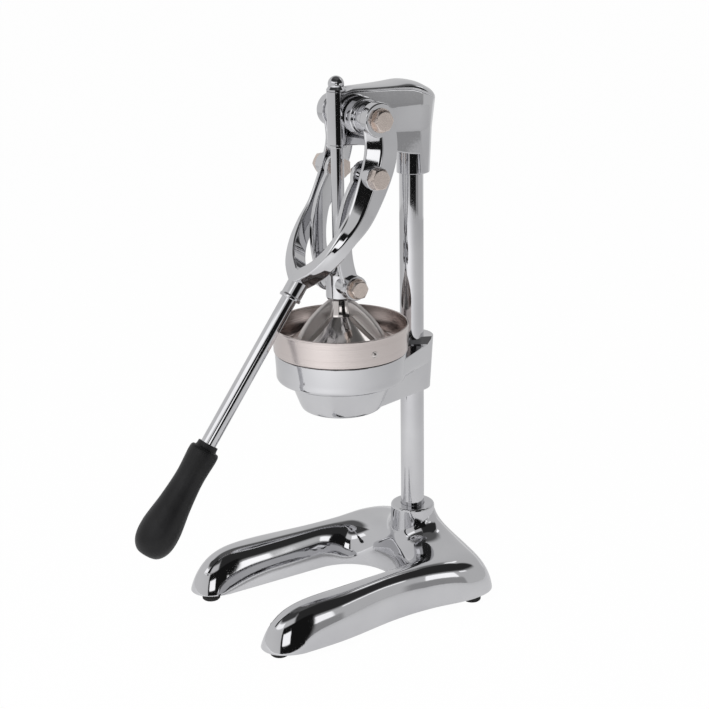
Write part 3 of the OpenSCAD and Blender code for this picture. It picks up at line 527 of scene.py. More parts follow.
def sheet_steel(name, light, dark, polish, satin=None):
    """Spun stainless sheet: rings of brush marks round the pressing axis, from distance and height.

    Where an attribute is named, the sheet goes from this polish at 0 to a satin rub at 1.
    """
    tree, shader, place = start_finish(name)
    centred = add(tree, "Mapping", {"Vector": place, "Location": -AXIS}).outputs["Vector"]
    x, y, z = add(tree, "SeparateXYZ", {"Vector": centred}).outputs
    square = maths(tree, "ADD", maths(tree, "MULTIPLY", x, x), maths(tree, "MULTIPLY", y, y))
    rings = add(tree, "CombineXYZ", {"X": maths(tree, "SQRT", square), "Y": z}).outputs["Vector"]
    marks = noise(tree, rings, scale=1400.0, detail=3.0)
    patches = clouds(tree, place, scale=22.0, detail=4.0)
    both = maths(tree, "MULTIPLY", spread(tree, marks, 0.0, 1.0), patches)
    rough = spread(tree, marks, polish * 0.75, polish * 1.3)
    if satin is not None:
        rub = add(tree, "Attribute", attribute_name=satin).outputs["Fac"]
        rough = maths(tree, "MULTIPLY_ADD", rub, SATIN_RUB, rough)
    relief = bump(tree, marks, depth=0.00003, strength=0.25)
    dress(tree, shader, blend_colours(tree, both, light, dark), rough, relief)


def bolt_steel(name, f):
    """Satin bolts: warm steel with tumbled scuffs."""
    tree, shader, place = start_finish(name)
    colour = shades(tree, clouds(tree, place, scale=60.0, detail=2.0), f.bolt, 0.9)
    scuffs = noise(tree, place, scale=260.0, detail=5.0)
    rough = spread(tree, scuffs, low=0.22, high=0.42)
    dress(tree, shader, colour, rough, bump(tree, scuffs, depth=0.00002, strength=0.2))


def grip_plastic(name, f):
    """Moulded grip: near black, with a fine spark texture and lightly rubbed patches."""
    tree, shader, place = start_finish(name)
    colour = shades(tree, clouds(tree, place, scale=30.0, detail=4.0, start=0.4), f.grip, 1.9)
    grain = noise(tree, place, scale=1500.0, detail=3.0)
    rough = spread(tree, grain, low=0.34, high=0.5)
    dress(tree, shader, colour, rough, bump(tree, grain, depth=0.00005, strength=0.4), DULL)


def foot_rubber(name, f):
    """Moulded rubber: matt black with a dusty bloom."""
    tree, shader, place = start_finish(name)
    dust = clouds(tree, place, scale=140.0, detail=5.0)
    rough = spread(tree, dust, low=0.62, high=0.85, start=0.0, end=1.0)
    relief = bump(tree, noise(tree, place, scale=900.0), depth=0.00006, strength=0.4)
    dress(tree, shader, shades(tree, dust, f.rubber, 2.2), rough, relief, {})


def finish_named(name):
    """The material of that name, made on its first use."""
    if name not in bpy.data.materials:
        f, lean = bpy.context.scene.press_finishes, bpy.context.scene.press_lever.bar_angle
        bell = (sheet_steel, f.bell, f.steel_dark, BELL_POLISH * f.brush)
        maker, *values = {
            "cast_chrome": (cast_chrome, f),
            "tube_chrome": (drawn_chrome, f, 0.0),
            "bar_chrome": (drawn_chrome, f, lean),
            "cup_steel": (sheet_steel, f.steel, f.steel_dark, f.brush),
            "bell_steel": bell,
            "fin_steel": (*bell, "fin"),
            "bolt_steel": (bolt_steel, f),
            "grip_plastic": (grip_plastic, f),
            "foot_rubber": (foot_rubber, f),
        }[name]
        maker(name, *values)
    return bpy.data.materials[name]


# Base: t runs along its plan, from 0 at the middle of the rear to the end of the gap's round, the start
# of a prong's tip and the tip's point, and below 0 on the left

BEND_END, OUTLINE_END, TIP_END = 5.0, 7.0, 8.0
TIP_LONG, TIP_SHIFT, TIP_LIFT = 10.0, 1.5, 1.5
TIP_FROM, TIP_DRAFT = 6.0, 0.28
CROWN_START = 60.0
FLANK_ACROSS, FLANK_UP, FLANK_STEPS = 2.8, 1.6, 1.4
STEEP_ACROSS, STEEP_UP, STEEP_STEPS, STEEP_END = 8.0, 2.4, 3.2, 3.6
SWELL, SWELL_FROM, SWELL_RUN, SWELL_AHEAD = 24.0, 22.0, 15.0, 0.1
AHEAD, BEHIND = -38.0, 26.0
FILLET, FILLET_RUN = 7.0, 3.2
BOSS_FIT, BOSS_DRAFT, BOSS_FLOOR, BOSS_SEAT = 0.15, 0.8, 22.0, 8.0
BOSS_HOLE_R, POST_R, POST_HOLE_R = 6.2, 9.0, 2.6


def base_crown(y, s):
    """Height of a prong's crown: level as far as CROWN_START, then an oval fall to the tip."""
    fall = ramp(-y, CROWN_START, s.prong_reach + s.prong_w / 2 + TIP_LONG + 0.5)
    return s.base_h * (1 - fall**4) ** 0.7


def base_rows(t, inset, s):
    """Edges of the base in plan at t, with the crown's height and the lower edge's lift.

    The gap's edge is a round and a straight, and the outer edge a smooth curve; an oval rounds the tip.
    """
    u = np.abs(t)
    run = np.minimum(u, OUTLINE_END)
    centre = s.gap_back - s.gap_half
    bend = np.pi / 2 * ramp(run, 0, BEND_END)
    straight = (-s.prong_reach - centre) * ramp(run, BEND_END, OUTLINE_END)
    near = np.stack([s.gap_half * np.sin(bend), centre + s.gap_half * np.cos(bend) + straight], -1)
    far = spline([
        (0, s.base_back), (0.5 * s.rear_half, s.base_back - 2), (0.89 * s.rear_half, s.base_back - 13),
        (s.rear_half, s.base_back - 44), (s.waist_half + 1.5, s.base_back - 95),
        (s.waist_half + 1, centre), (s.gap_half + s.prong_w - 0.8, -0.56 * s.prong_reach),
        (s.gap_half + s.prong_w, -s.prong_reach),
    ], run)
    height = base_crown((near + far)[:, 1] / 2, s) - inset
    across = unit(far - near) * inset
    near, far = near + across, far - across
    round_off = np.pi / 2 * ramp(u, OUTLINE_END, TIP_END)
    tip_r, go = s.prong_w / 2, np.sin(round_off)
    x = s.gap_half + tip_r - TIP_SHIFT * go
    y = -s.prong_reach - (tip_r + TIP_LONG - inset) * go
    half = (tip_r - inset) * np.maximum(np.cos(round_off), 0) ** 0.9
    tip = u > OUTLINE_END
    near = np.where(tip[:, None], np.stack([x - half, y], -1), near)
    far = np.where(tip[:, None], np.stack([x + half, y], -1), far)
    height = np.where(tip, base_crown(y - inset * go, s) - inset * np.cos(round_off), height)
    hand = np.stack([np.where(t < 0, -1.0, 1.0), np.ones_like(t)], -1)
    return near * hand, far * hand, height, TIP_LIFT * go


def base_skin(t, cols, inset, s):
    """Rounded-square arch across the base at each t: steeper on the gap's side near the boss.

    Its points crowd to the crown by a power. A swell and a fillet, both falling off with the distance
    from the column, lift it to the boss.
    """
    near, far, height, lift = (v[:, None] for v in base_rows(t, inset, s))
    u = np.abs(t)[:, None]
    q = np.linspace(-1, 1, cols)[None, :]
    steep = np.where(q < 0, ease(1 - ramp(u, 0, STEEP_END)), 0.0)
    a = np.pi / 2 * (1 - np.sign(q) * np.abs(q) ** mix(FLANK_STEPS, STEEP_STEPS, steep))
    up = squash(np.sin(a), mix(FLANK_UP, STEEP_UP, steep))
    lean = 1 - TIP_DRAFT * ease(ramp(u, TIP_FROM, OUTLINE_END + 0.5)) * up
    across = (1 + lean * squash(np.cos(a), mix(FLANK_ACROSS, STEEP_ACROSS, steep))) / 2
    plan = near + (far - near) * across[..., None]
    away = np.linalg.norm(plan - np.array([0.0, s.column_back]), axis=-1)
    behind = ease(ramp(plan[..., 1] - s.column_back, AHEAD, BEHIND))
    swell = SWELL * np.exp(-np.maximum(away - SWELL_FROM, 0) / SWELL_RUN) * mix(SWELL_AHEAD, 1, behind)
    fillet = FILLET * np.exp(-np.maximum(away - s.boss_r, 0) / FILLET_RUN)
    z = s.foot_h + mix(lift, height + swell + fillet, up)
    return np.concatenate([plan, z[..., None]], -1)


def base_patches(s):
    """Outer skin and lining as one ring of arches, with the column boss and the four foot posts."""
    t = np.linspace(-TIP_END, TIP_END, 481)
    skins = [base_skin(t, 101, 0.0, s), base_skin(t, 45, s.wall, s)[:, ::-1]]
    floor, bore = s.foot_h + BOSS_FLOOR, s.column_d / 2 + BOSS_FIT
    boss = turned([
        (bore, floor + BOSS_SEAT), (bore, s.boss_top), (s.boss_r, s.boss_top), (s.boss_r + BOSS_DRAFT, floor),
        (BOSS_HOLE_R, floor), (BOSS_HOLE_R, floor + BOSS_SEAT),
    ], [0.1, 0.8, 3.2, 0.5, 0.1, 0.1], 9, (0, s.column_back, 0), cols=144)
    posts = [
        turned(
            [(POST_HOLE_R, 0), (POST_R, 0), (POST_R, high), (POST_HOLE_R, high)], 0.6, 5, (x, y, s.foot_h),
            cols=48,
        )
        for x, y, high in [
            (s.gap_half + s.prong_w / 2 - 4, -s.prong_reach - 14, 24),
            (s.rear_half - 16, s.base_back - 36, 20),
        ]
    ]
    return [(np.concatenate(skins, 1), False, True), boss, *both_sides(*posts)]


class PressBase(bpy.types.Operator):
    """Horseshoe base casting with its column boss"""

    bl_idname = "press.base"
    bl_label = "Base casting"

    def execute(self, context):
        build("base_shell", base_patches(press_sizes()), "stand", "base_casting", "cast_chrome")
        return DONE


# Head: rows of its crown give y as a share of the head's length, then the rim's and the ridge's height

CROWN_SHAPE = [
    (0, -1, 1.5), (0.13, 0.2, 2.9), (0.39, 0, 3.1), (0.535, -0.3, 3.6), (0.65, -1.3, 4.6),
    (0.715, -2.9, 4.3), (0.786, -6, 2.5), (0.857, -9.5, -1.2), (0.93, -13, -5.8), (0.996, -16.5, -14.5),
]
CROWN_OVER, CROWN_LIP, CROWN_ROWS = 0.35, 3.0, 150
DROP_FRONT, DROP_SIDE, DROP_BACK = 40, 80, 50
SOCKET_WALL, SOCKET_LONG = 2.5, 26.0
NECK_R, FLANGE_R, FLANGE_IN = 15.2, 18.8, 4.0


def teardrop(r1, r2, reach, first):
    """Plan of rows round a teardrop: a round of r1, straight sides and a round of r2 `reach` behind it.

    Each point is turned about a centre that goes from the front round to the back one. Where `first` is
    0 the plan is a whole ring, else it starts that far along the straight sides and stays open.
    """
    whole = np.ndim(first) == 0
    f = np.linspace(0, 1, DROP_FRONT)[:-1] if whole else np.zeros(0)
    g, k = np.linspace(0, 1, DROP_SIDE), np.linspace(0, 1, DROP_BACK)[1:]
    go = np.concatenate([0 * f, g, 0 * k + 1])
    ahead = np.concatenate([f, 0 * g + 1, 0 * k + 1])
    behind = np.concatenate([0 * f, 0 * g, k])
    half = len(go)
    stop = 0 if whole else None
    go, ahead, behind = (np.concatenate([v, v[-2:stop:-1]]) for v in (go, ahead, behind))
    hand = np.where(np.arange(len(go)) < half, 1.0, -1.0)
    go = mix(first, 1, go)
    lean = np.pi - np.arccos((r1 - r2) / reach)
    angle = lean * ahead + (np.pi - lean) * behind
    r = mix(r1, r2, go)
    return hand * r * np.sin(angle), go * reach - r * np.cos(angle)


def quarter_rows(edge, rows, middle):
    """Rows of a wall with rounded edges: how far each is drawn in, its height share and its step."""
    a = np.linspace(0, np.pi / 2, rows)[:, None]
    up = np.linspace(0, 1, middle)[1:-1, None]
    drawn = np.concatenate([edge * (1 - np.sin(a)), 0 * up, edge * (1 - np.cos(a))])
    share_up = np.concatenate([0 * a, up, 0 * a + 1])
    step = np.concatenate([edge * (1 - np.cos(a)), 0 * up, edge * (np.sin(a) - 1)])
    return drawn, share_up, step


def head_half(y, s):
    """Half width of the head at y: straight sides from the sleeve, then the rounded back."""
    lean = np.arccos((s.sleeve_r - s.back_r) / s.column_back)
    side = (s.sleeve_r - y * np.cos(lean)) / np.sin(lean)
    back = np.sqrt(np.maximum(s.back_r**2 - (y - s.column_back) ** 2, 0))
    return np.where(y > s.column_back + s.back_r * np.cos(lean), back, side)


def head_crown(crown, s):
    """Crown: rings along Y as wide as the head, an oval from the rim to the ridge and a thin lip below."""
    y, rim, ridge = crown.T[..., None]
    a = around(112)[None, :]
    y = y + 0 * a
    z = rim + np.where(np.sin(a) >= 0, (ridge - rim) * np.sin(a), CROWN_LIP * squash(np.sin(a), 4))
    x = (head_half(y, s) + CROWN_OVER) * squash(np.cos(a), 2.5)
    away = np.hypot(x, y) - (s.sleeve_r + 2)
    z = s.sleeve_top + np.minimum(z, np.where(away > 0, 0.5 * away, 0))
    return capped(np.stack([x, y, z], -1)), False, True


def head_body(crown, s):
    """Web and back of the head: a teardrop plan between its lower outline and the crown's rim at each y."""
    web_low, jump = s.socket_z + 21, s.column_back - 4
    front_r = s.sleeve_r - 0.25
    _, y = teardrop(np.full((1, 1), front_r), np.full((1, 1), s.back_r), s.column_back, 0.0)
    edge_y, edge_z = soften([
        (-s.sleeve_r, s.sleeve_z + 2.7), (s.pivot_back + 4, s.sleeve_z + 1),
        (s.pivot_back + 26, web_low + 8), (jump - 16, web_low + 2.5), (jump, web_low),
    ], [0, 12, 14, 10, 0], 15).T
    low = np.where(y > jump + 0.05, s.socket_z, np.interp(y, edge_y, edge_z))
    top = s.sleeve_top - 1 + np.interp(y, crown[:, 0], crown[:, 1])
    drawn, up, step = quarter_rows(1.2, 6, 40)
    z = mix(low, top, up) + step
    levels = [s.socket_z, s.socket_z + 1, s.sleeve_top - 44, s.sleeve_top - 18]
    back_r = s.back_r + np.interp(z, levels, [-6, -5.2, -3, 0])
    x, y = teardrop(front_r - drawn, back_r - drawn, s.column_back, 0.0)
    rows = np.stack([x, y, z], -1)
    spine = np.array([0.0, 1.0, 1.0])
    return np.concatenate([rows[:1] * spine, rows, rows[-1:] * spine]), False, True


def head_patches(s):
    """Crown, body, column socket, guide sleeve and the stepped cross boss of the lever pivot."""
    crown = smooth(CROWN_SHAPE, CROWN_ROWS) * np.array([s.column_back + s.back_r, 1, 1])
    socket_r, flare = s.column_d / 2 + SOCKET_WALL, s.sleeve_r + 0.5
    low, high = s.socket_z, s.socket_z + SOCKET_LONG
    socket = turned([
        (s.column_bore, low), (socket_r, low), (socket_r, high), (s.column_bore, high),
    ], 0.6, 6, (0, s.column_back, 0))
    guide = turned([
        (s.rod_bore, s.sleeve_z), (flare, s.sleeve_z), (flare, s.sleeve_z + 2.5),
        (s.sleeve_r, s.sleeve_z + 3), (s.sleeve_r, s.sleeve_top), (s.rod_bore, s.sleeve_top),
    ], [0.2, 0.5, 0.4, 0.4, 0.7, 0.3], 6)
    flange_end = s.crosshead_half - SIDE_GAP
    half = np.array([
        (FLANGE_R, FLANGE_IN), (FLANGE_R, flange_end), (NECK_R, flange_end), (NECK_R, s.fork_in),
        (0, s.fork_in),
    ])
    edges = [0.8, 1.5, 1.2, 2.2, 1]
    across = soften(np.concatenate([half[::-1] * np.array([1, -1]), half]), [*edges, *edges[::-1]], 8)
    boss = lathe(across, (0, *s.pivot), (1, 0, 0), 120)
    return [head_crown(crown, s), head_body(crown, s), socket, guide, boss]


class PressHead(bpy.types.Operator):
    """Head casting with the guide sleeve, the crown and the lever's cross boss"""

    bl_idname = "press.head"
    bl_label = "Head casting"

    def execute(self, context):
        build("head", head_patches(press_sizes()), "stand", "head_casting", "cast_chrome")
        return DONE


# Bowl

FUNNEL_STEP, FUNNEL_LOW_R = 16.0, 41.0
CLAMP_LOW, CLAMP_DRAFT, ARM_EDGE, ARM_DROP = 4.0, 3.5, 0.9, 5.5
GROOVE, CUP_FLOOR, CUP_LEDGE, CUP_LEAN, CUP_BEAD = 0.9, 9.0, 10.0, 0.6, 0.25
RIVET_R, RIVET_BALL, RIVET_SUNK, RIVET_TURNS, RIVET_RISE = 2.4, 2.6, -0.8, (-3, 117, 237), 0.45


def arm_block(low, top, front, wall, s):
    """Arm of the holder: from the bowl's wall, along straight sides, round the clamp and back.

    front and wall are tables of heights and radii: the round that the sides leave and the wall that they
    start on. top is a table of y and the arm's height there. The clamp narrows downwards.
    """
    clamp_low = s.funnel_low + CLAMP_LOW

    def plan(z, drawn):
        r1 = np.interp(z, *front) - drawn
        r2 = s.clamp_r - CLAMP_DRAFT * (s.holder_z - z) / (s.holder_z - clamp_low) - drawn
        run = np.sqrt(s.column_back**2 - (r1 - r2) ** 2)
        first = np.sqrt(np.maximum(np.interp(z, *wall) ** 2 - r1**2, 0)) / run
        return teardrop(r1, r2, s.column_back, first)

    cols = 2 * (DROP_SIDE + DROP_BACK - 1) - 1
    _, y = plan(np.full((1, cols), s.holder_z), 0.0)
    drawn, up, step = quarter_rows(ARM_EDGE, 7, 16)
    z = mix(low, np.interp(y, *top), up) + step
    x, y = plan(z, drawn)
    col = np.arange(cols)
    go = ramp(np.minimum(col, col[::-1]), 0, DROP_SIDE - 1)
    inner = mix(np.arctan2(y[:, :1], x[:, :1]), np.pi / 2, go)
    hand, reach = np.where(col < cols / 2, 1.0, -1.0), np.interp(z, *wall)
    inside = np.stack([hand * reach * np.cos(inner), reach * np.sin(inner), z], -1)
    return np.concatenate([np.stack([x, y, z], -1), inside[-1:], inside[:1]]), True, False


def holder_patches(s):
    """Funnel and band as one turned wall, with the arm and its lower web back to the column clamp."""
    band_r, band_low, inside, low = s.band_r, s.band_low, s.band_in, s.funnel_low
    top_r, low_r = s.cup_r - FUNNEL_STEP, FUNNEL_LOW_R
    wall = turned([
        (s.outlet_r, low), (low_r, low), (low_r + 2.5, low + 5), (top_r, band_low), (band_r - 1, band_low),
        (band_r - 1, band_low + 9), (band_r, s.holder_z), (inside, s.holder_z), (inside, band_low + 10),
        (top_r - 6, band_low + 3), (low_r - 5, low + 8.5), (s.outlet_r, low + 4.5),
    ], [1.2, 3, 3, 5, 7, 2, 0.9, 0.6, 3, 3, 3, 1], 9, cols=192)
    arm_top = [s.column_back + 2, s.column_back + 14], [s.holder_z - ARM_DROP, s.holder_z]
    arm_wall = [band_low + 1, band_low + 6, s.holder_z], [band_r - 7, band_r - 1.6, band_r - 1]
    web_wall = [low + 9, band_low + 3], [low_r + 1, top_r - 3]
    return [
        wall, arm_block(band_low + 1, arm_top, arm_wall, arm_wall, s),
        arm_block(low + 4, ([0], [band_low + 3]), ([0], [low_r + 1]), web_wall, s),
    ]


def cup_patches(s):
    """Strainer cup: folded sheet turned round the pressing axis, with a rolled rim."""
    neck, floor, wall = s.band_in - 0.4, s.holder_z - CUP_FLOOR, s.cup_wall
    out, rim, foot = s.cup_r, s.holder_z + s.cup_h, s.holder_z + GROOVE
    bead_in = out - wall - 0.3
    return [turned([
        (neck - CUP_LEDGE, floor), (neck, floor), (neck, foot), (out - CUP_LEAN, foot), (out, rim - 2.2),
        (out + CUP_BEAD, rim - 1.6), (out + CUP_BEAD, rim), (bead_in, rim), (bead_in, rim - 1.6),
        (out - wall, rim - 2.2), (out - wall - CUP_LEAN, foot + wall), (neck - wall, foot + wall),
        (neck - wall, floor + wall), (neck - CUP_LEDGE, floor + wall),
    ], [0.3, 1.2, 0.6, 1.4, 0.4, 0.5, 0.9, 0.9, 0.5, 0.4, 1.2, 0.6, 1.2, 0.3], 7, cols=240)]


def rivet_patches(s):
    """Three domed rivets: a ball's cap on a thin tapered collar, turned about lines out of the cup's wall."""
    r = RIVET_R * np.sin(np.linspace(0, 1, 9) * np.pi / 2)
    cap = np.stack([r, RIVET_SUNK + np.sqrt(RIVET_BALL**2 - r**2)], -1)
    corners = [(RIVET_R, 0.2), (3.4, 0.3), (3.7, -0.3), (3.7, RIVET_SUNK), (0, RIVET_SUNK)]
    outline = np.concatenate([cap, soften(corners, [0.1, 0.3, 0.2, 0.1, 0], 5)])
    seat = np.array([0, 0, s.holder_z + RIVET_RISE * s.cup_h])
    runs = [np.array([np.cos(a), np.sin(a), 0]) for a in np.radians(RIVET_TURNS)]
    return [lathe(outline, seat + s.cup_r * run, run, 48) for run in runs]


class PressHolder(bpy.types.Operator):
    """Bowl holder: band, funnel, arm and column clamp"""

    bl_idname = "press.holder"
    bl_label = "Bowl holder"

    def execute(self, context):
        build("holder", holder_patches(press_sizes()), "stand", "bowl_holder", "cast_chrome")
        return DONE


class PressCup(bpy.types.Operator):
    """Strainer cup and its rivets"""

    bl_idname = "press.cup"
    bl_label = "Strainer cup"

    def execute(self, context):
        s = press_sizes()
        build("cup", cup_patches(s), "stand", "strainer_cup", "cup_steel")
        build("cup_rivet_heads", rivet_patches(s), "stand", "cup_rivets", "bell_steel")
        return DONE


# Plunger

BELL_NECK, BELL_ROWS, BELL_COLS = 12.0, 121, 396
RIB_TURNS, RIB_HALF, RIB_SHARP = (-90, 30, 150), 5.2, 6
FIN_FLAT, FIN_EDGE = 5.0, 6.2
CROSSHEAD_H, CROSS_BOSS_R = 41.0, 11.0


def bell_points(inset, s):
    """Bell: at each angle a mix of a valley outline and a ridge outline, by how near a rib the angle is."""
    neck, high, wide = BELL_NECK, s.bell_h, s.bell_r
    knee_r, knee_z = neck + 5.5, high - 17.5
    low = smooth([
        (neck, high), (neck + 1, high - 7.5), (neck + 3, high - 14.5), (knee_r, knee_z),
        (mix(knee_r, wide, 0.3), 0.7 * knee_z), (mix(knee_r, wide, 0.65), 0.35 * knee_z), (wide, 0),
    ], BELL_ROWS)[:, None]
    tall = smooth([
        (neck, high), (neck + 3, high - 1.5), (neck + 11, high - 6), (wide - 21, high - 13.5),
        (wide - 12, high - 22.5), (wide - 5, 13), (wide, 0),
    ], BELL_ROWS)[:, None]
    u = np.linspace(-1, 1, BELL_COLS // 3, endpoint=False)
    off = np.tile(np.pi / 3 * (0.28 * u + 0.72 * u**3), 3)
    angle = (np.repeat(np.radians(RIB_TURNS), len(u)) + off)[None, :]
    rib = np.exp(-(tall[..., 0] * np.abs(off) / (RIB_HALF - 0.8 * inset)) ** RIB_SHARP)[..., None]
    row = np.linspace(0, 1, BELL_ROWS)[:, None]
    r, z = np.moveaxis(mix(low, tall, rib), -1, 0)
    r = r - inset * mix(1, 0.8, row)
    z = z - inset * np.where(row < 0.999, mix(2, 0.7, np.minimum(1, 3 * row)), 0)
    return np.stack([r * np.cos(angle), r * np.sin(angle), s.bell_low + z], -1)


def bell_patches(s):
    """Outer face and lining joined at the lower edge and at the bore of the rod."""
    outer, lining = bell_points(0.0, s), bell_points(s.bell_wall, s)[::-1]
    bore = np.concatenate([unit(outer[0, :, :2]) * s.rod_bore, outer[0, :, 2:]], 1)[None]
    return [(np.concatenate([outer, lining, bore - 2 * s.bell_wall * UP, bore]), True, True)]


def mark_fins(mesh):
    """Attribute `fin`: 1 near the middle of a rib, by the distance across it, fading to 0 past its edge."""
    points = np.empty(3 * len(mesh.vertices), np.float32)
    mesh.vertices.foreach_get("co", points)
    x, y = (points.reshape(-1, 3) - AXIS)[:, :2].T / MM
    third = 2 * np.pi / 3
    off = (np.arctan2(y, x) + np.pi / 2 + third / 2) % third - third / 2
    fin = 1 - ramp(np.hypot(x, y) * np.abs(np.sin(off)), FIN_FLAT, FIN_EDGE)
    mesh.attributes.new("fin", "FLOAT", "POINT").data.foreach_set("value", fin.astype(np.float32))


def crosshead_patches(s):
    """Crosshead: turned body on the rod and turned bosses across it for the links."""
    r, high, half = s.crosshead_r, CROSSHEAD_H, s.crosshead_half
    body = turned([
        (s.rod_bore, 0), (r - 1.5, 0), (r, 2), (r, high - 12), (r - 4.5, high), (s.rod_bore, high),
    ], [0.3, 0.8, 1, 3, 1.2, 0.4], 8, (0, 0, s.bell_top))
    return [body, bar_along_x(s.link_low, -half, half, CROSS_BOSS_R, 1.2, 96, 8)]


class PressPlunger(bpy.types.Operator):
    """Ribbed bell and crosshead on the press rod"""

    bl_idname = "press.plunger"
    bl_label = "Bell and crosshead"

    def execute(self, context):
        s = press_sizes()
        bell = build("bell", bell_patches(s), "plunger", "presser_bell", "fin_steel", 60, False)
        mark_fins(bell.data)
        build("crosshead_body", crosshead_patches(s), "plunger", "crosshead", "cast_chrome")
        return DONE


# Links

TOP_EYE_R, LOW_EYE_R, TOP_PAD_R, LOW_PAD_R = 14.0, 13.0, 9.5, 12.5
LINK_ACROSS, LINK_THROUGH, EYE_BLEND = 9, 7, 10


def link_patches(s):
    """Right link: a rounded-square band along an arc through both bolts, widened to a round eye at each."""
    chord = s.link_top - s.link_low
    long = np.linalg.norm(chord)
    bend = ((long / 2) ** 2 + s.link_bow**2) / (2 * s.link_bow)
    travel = np.arcsin(long / 2 / bend) * bend
    run = chord / long
    bow = np.array([-run[1], run[0]])
    centre = (s.link_top + s.link_low) / 2 - bow * (bend - s.link_bow)
    quarter = np.linspace(0, np.pi / 2, 22)
    place = np.concatenate([
        -travel - LOW_EYE_R * np.cos(quarter), np.linspace(-travel, travel, 90)[1:-1],
        travel + TOP_EYE_R * np.sin(quarter),
    ])
    widths = [
        np.where(np.abs(place) <= travel, s.link_w / 2, 0.0),
        np.sqrt(np.maximum(LOW_EYE_R**2 - (place + travel) ** 2, 0)),
        np.sqrt(np.maximum(TOP_EYE_R**2 - (place - travel) ** 2, 0)),
    ]
    wide = sum(w**EYE_BLEND for w in widths) ** (1 / EYE_BLEND)
    b = (place / bend)[:, None]
    out = bow * np.cos(b) + run * np.sin(b)
    a = around(48)
    across = wide[:, None] * squash(np.cos(a), LINK_ACROSS)
    plane = (centre + bend * out)[:, None] + out[:, None] * across[..., None]
    x = s.link_in + s.link_t / 2 + s.link_t / 2 * squash(np.sin(a), LINK_THROUGH)
    band = np.concatenate([np.broadcast_to(x[None, :, None], (*plane.shape[:2], 1)), plane], -1)
    return [
        (band, False, True),
        bar_along_x(s.link_top, s.link_in + 1, s.fork_in, TOP_PAD_R),
        bar_along_x(s.link_low, s.link_in + 1, s.link_out, LOW_PAD_R),
    ]


class PressLinks(bpy.types.Operator):
    """Two curved links between the crosshead and the fork"""

    bl_idname = "press.links"
    bl_label = "Links"

    def execute(self, context):
        build_sides("curved_link", link_patches(press_sizes()), "links", "link", "cast_chrome")
        return DONE


# Lever: a section's corners are (ahead, out) as shares of its half sizes

ARM_PLAIN = np.array([
    (1, 0.5), (0.95, 0.88), (0.82, 1), (-0.2, 1), (-0.82, 1), (-0.95, 0.88), (-1, 0.5),
    (-1, -0.5), (-0.95, -0.88), (-0.82, -1), (0.82, -1), (0.95, -0.88), (1, -0.5),
])
ARM_BEVELLED = np.array([
    (1, 0.5), (0.95, 0.88), (0.82, 1), (-0.2, 1), (-0.8, -0.1), (-0.93, -0.34), (-0.985, -0.5),
    (-1, -0.7), (-0.96, -0.92), (-0.82, -1), (0.82, -1), (0.95, -0.88), (1, -0.5),
])
ARM_BEVELS = [1, 1, 1, 0.9, 0.6, 0.3, 0.1, 0]
ARM_ROUND, ARM_ROWS = 2.2, 221
HUB_UP, EYE_R, PAD_R = 21.0, 17.0, 12.0
HUB_R, HUB_LIP_R, HUB_LONG = 10.4, 11.2, 30.0
GRIP_DEEP = 8.0


def fork_arm(s):
    """Right half of the wishbone: sections square to a smooth path from the eye to the hub.

    A section goes from one with a broad bevel along its outer front edge to a plain rounded bar.
    """
    low = s.socket_end - HUB_UP * s.bar_run[1:]
    top, mid = s.link_top, s.arm_mid
    bend = top - np.array([31, 57])
    path = np.array([
        (mid, s.pivot[0] + 1, s.pivot[1]), (mid, s.pivot[0] + 4, s.pivot[1] - 29),
        (mid + 0.6, top[0] + 3.5, top[1]), (mid + 1, top[0] - 14, top[1] - 36), (mid - 0.5, *bend),
        (mid - 6.5, *mix(bend, low, np.array([0.42, 0.38]))),
        (mid - 19.5, *mix(bend, low, np.array([0.76, 0.72]))), (0, *low),
    ])
    depths = np.array([s.arm_depth, s.arm_depth + 1, s.arm_depth, 26, 20.5, 18.5, 18.5, 20])
    thicks = s.arm_t + np.array([0, 0, 0, 0, 0, 0.5, 2, 3])
    last = len(path) - 1
    t = np.linspace(0, last, ARM_ROWS)
    run = unit(spline(path, np.minimum(t + 0.05, last)) - spline(path, np.maximum(t - 0.05, 0)))
    run = unit(mix(run, np.array([-1.0, 0, 0]), ramp(t, last - 1, last)[:, None] ** 2))
    upright = np.stack([0 * t, -run[:, 2], run[:, 1]], -1)
    across_bar = np.array([0, np.cos(s.bar_angle), -np.sin(s.bar_angle)])
    ahead = mix(upright, across_bar, ((t / last) ** 4)[:, None])
    ahead = unit(ahead - run * np.sum(ahead * run, 1, keepdims=True))
    out = np.cross(run, ahead)
    halves = np.stack([spline(depths, t), spline(thicks, t)], -1)[:, None] / 2
    shape = mix(ARM_PLAIN, ARM_BEVELLED, spline(ARM_BEVELS, t)[:, None, None])
    section = soften(halves * shape, ARM_ROUND, 6, True, 0.49)
    return spline(path, t)[:, None] + ahead[:, None] * section[..., :1] + out[:, None] * section[..., 1:]


def fork_patches(s):
    """Both arms as one skin through the round of the wishbone, with the eyes, the bolt pads and the hub."""
    right = fork_arm(s)
    skin = capped(np.concatenate([right, (right * MIRROR)[-2::-1]]))
    eye = bar_along_x(s.pivot, s.fork_half, s.arm_out, EYE_R, 1.6, 96)
    pad = bar_along_x(s.link_top, s.fork_half + 1, s.pad_out, PAD_R, 1.0)
    hub = turned([
        (s.bar_bore, 0), (HUB_LIP_R, 0), (HUB_LIP_R, -3), (HUB_R, -3.7), (HUB_R, -HUB_LONG),
        (s.bar_bore, -HUB_LONG),
    ], [0.3, 0.8, 0.6, 0.5, 2, 0.3], 7, (0, *s.socket_end), s.bar_run, 96)
    return [(skin, False, True), *both_sides(eye, pad), hub]


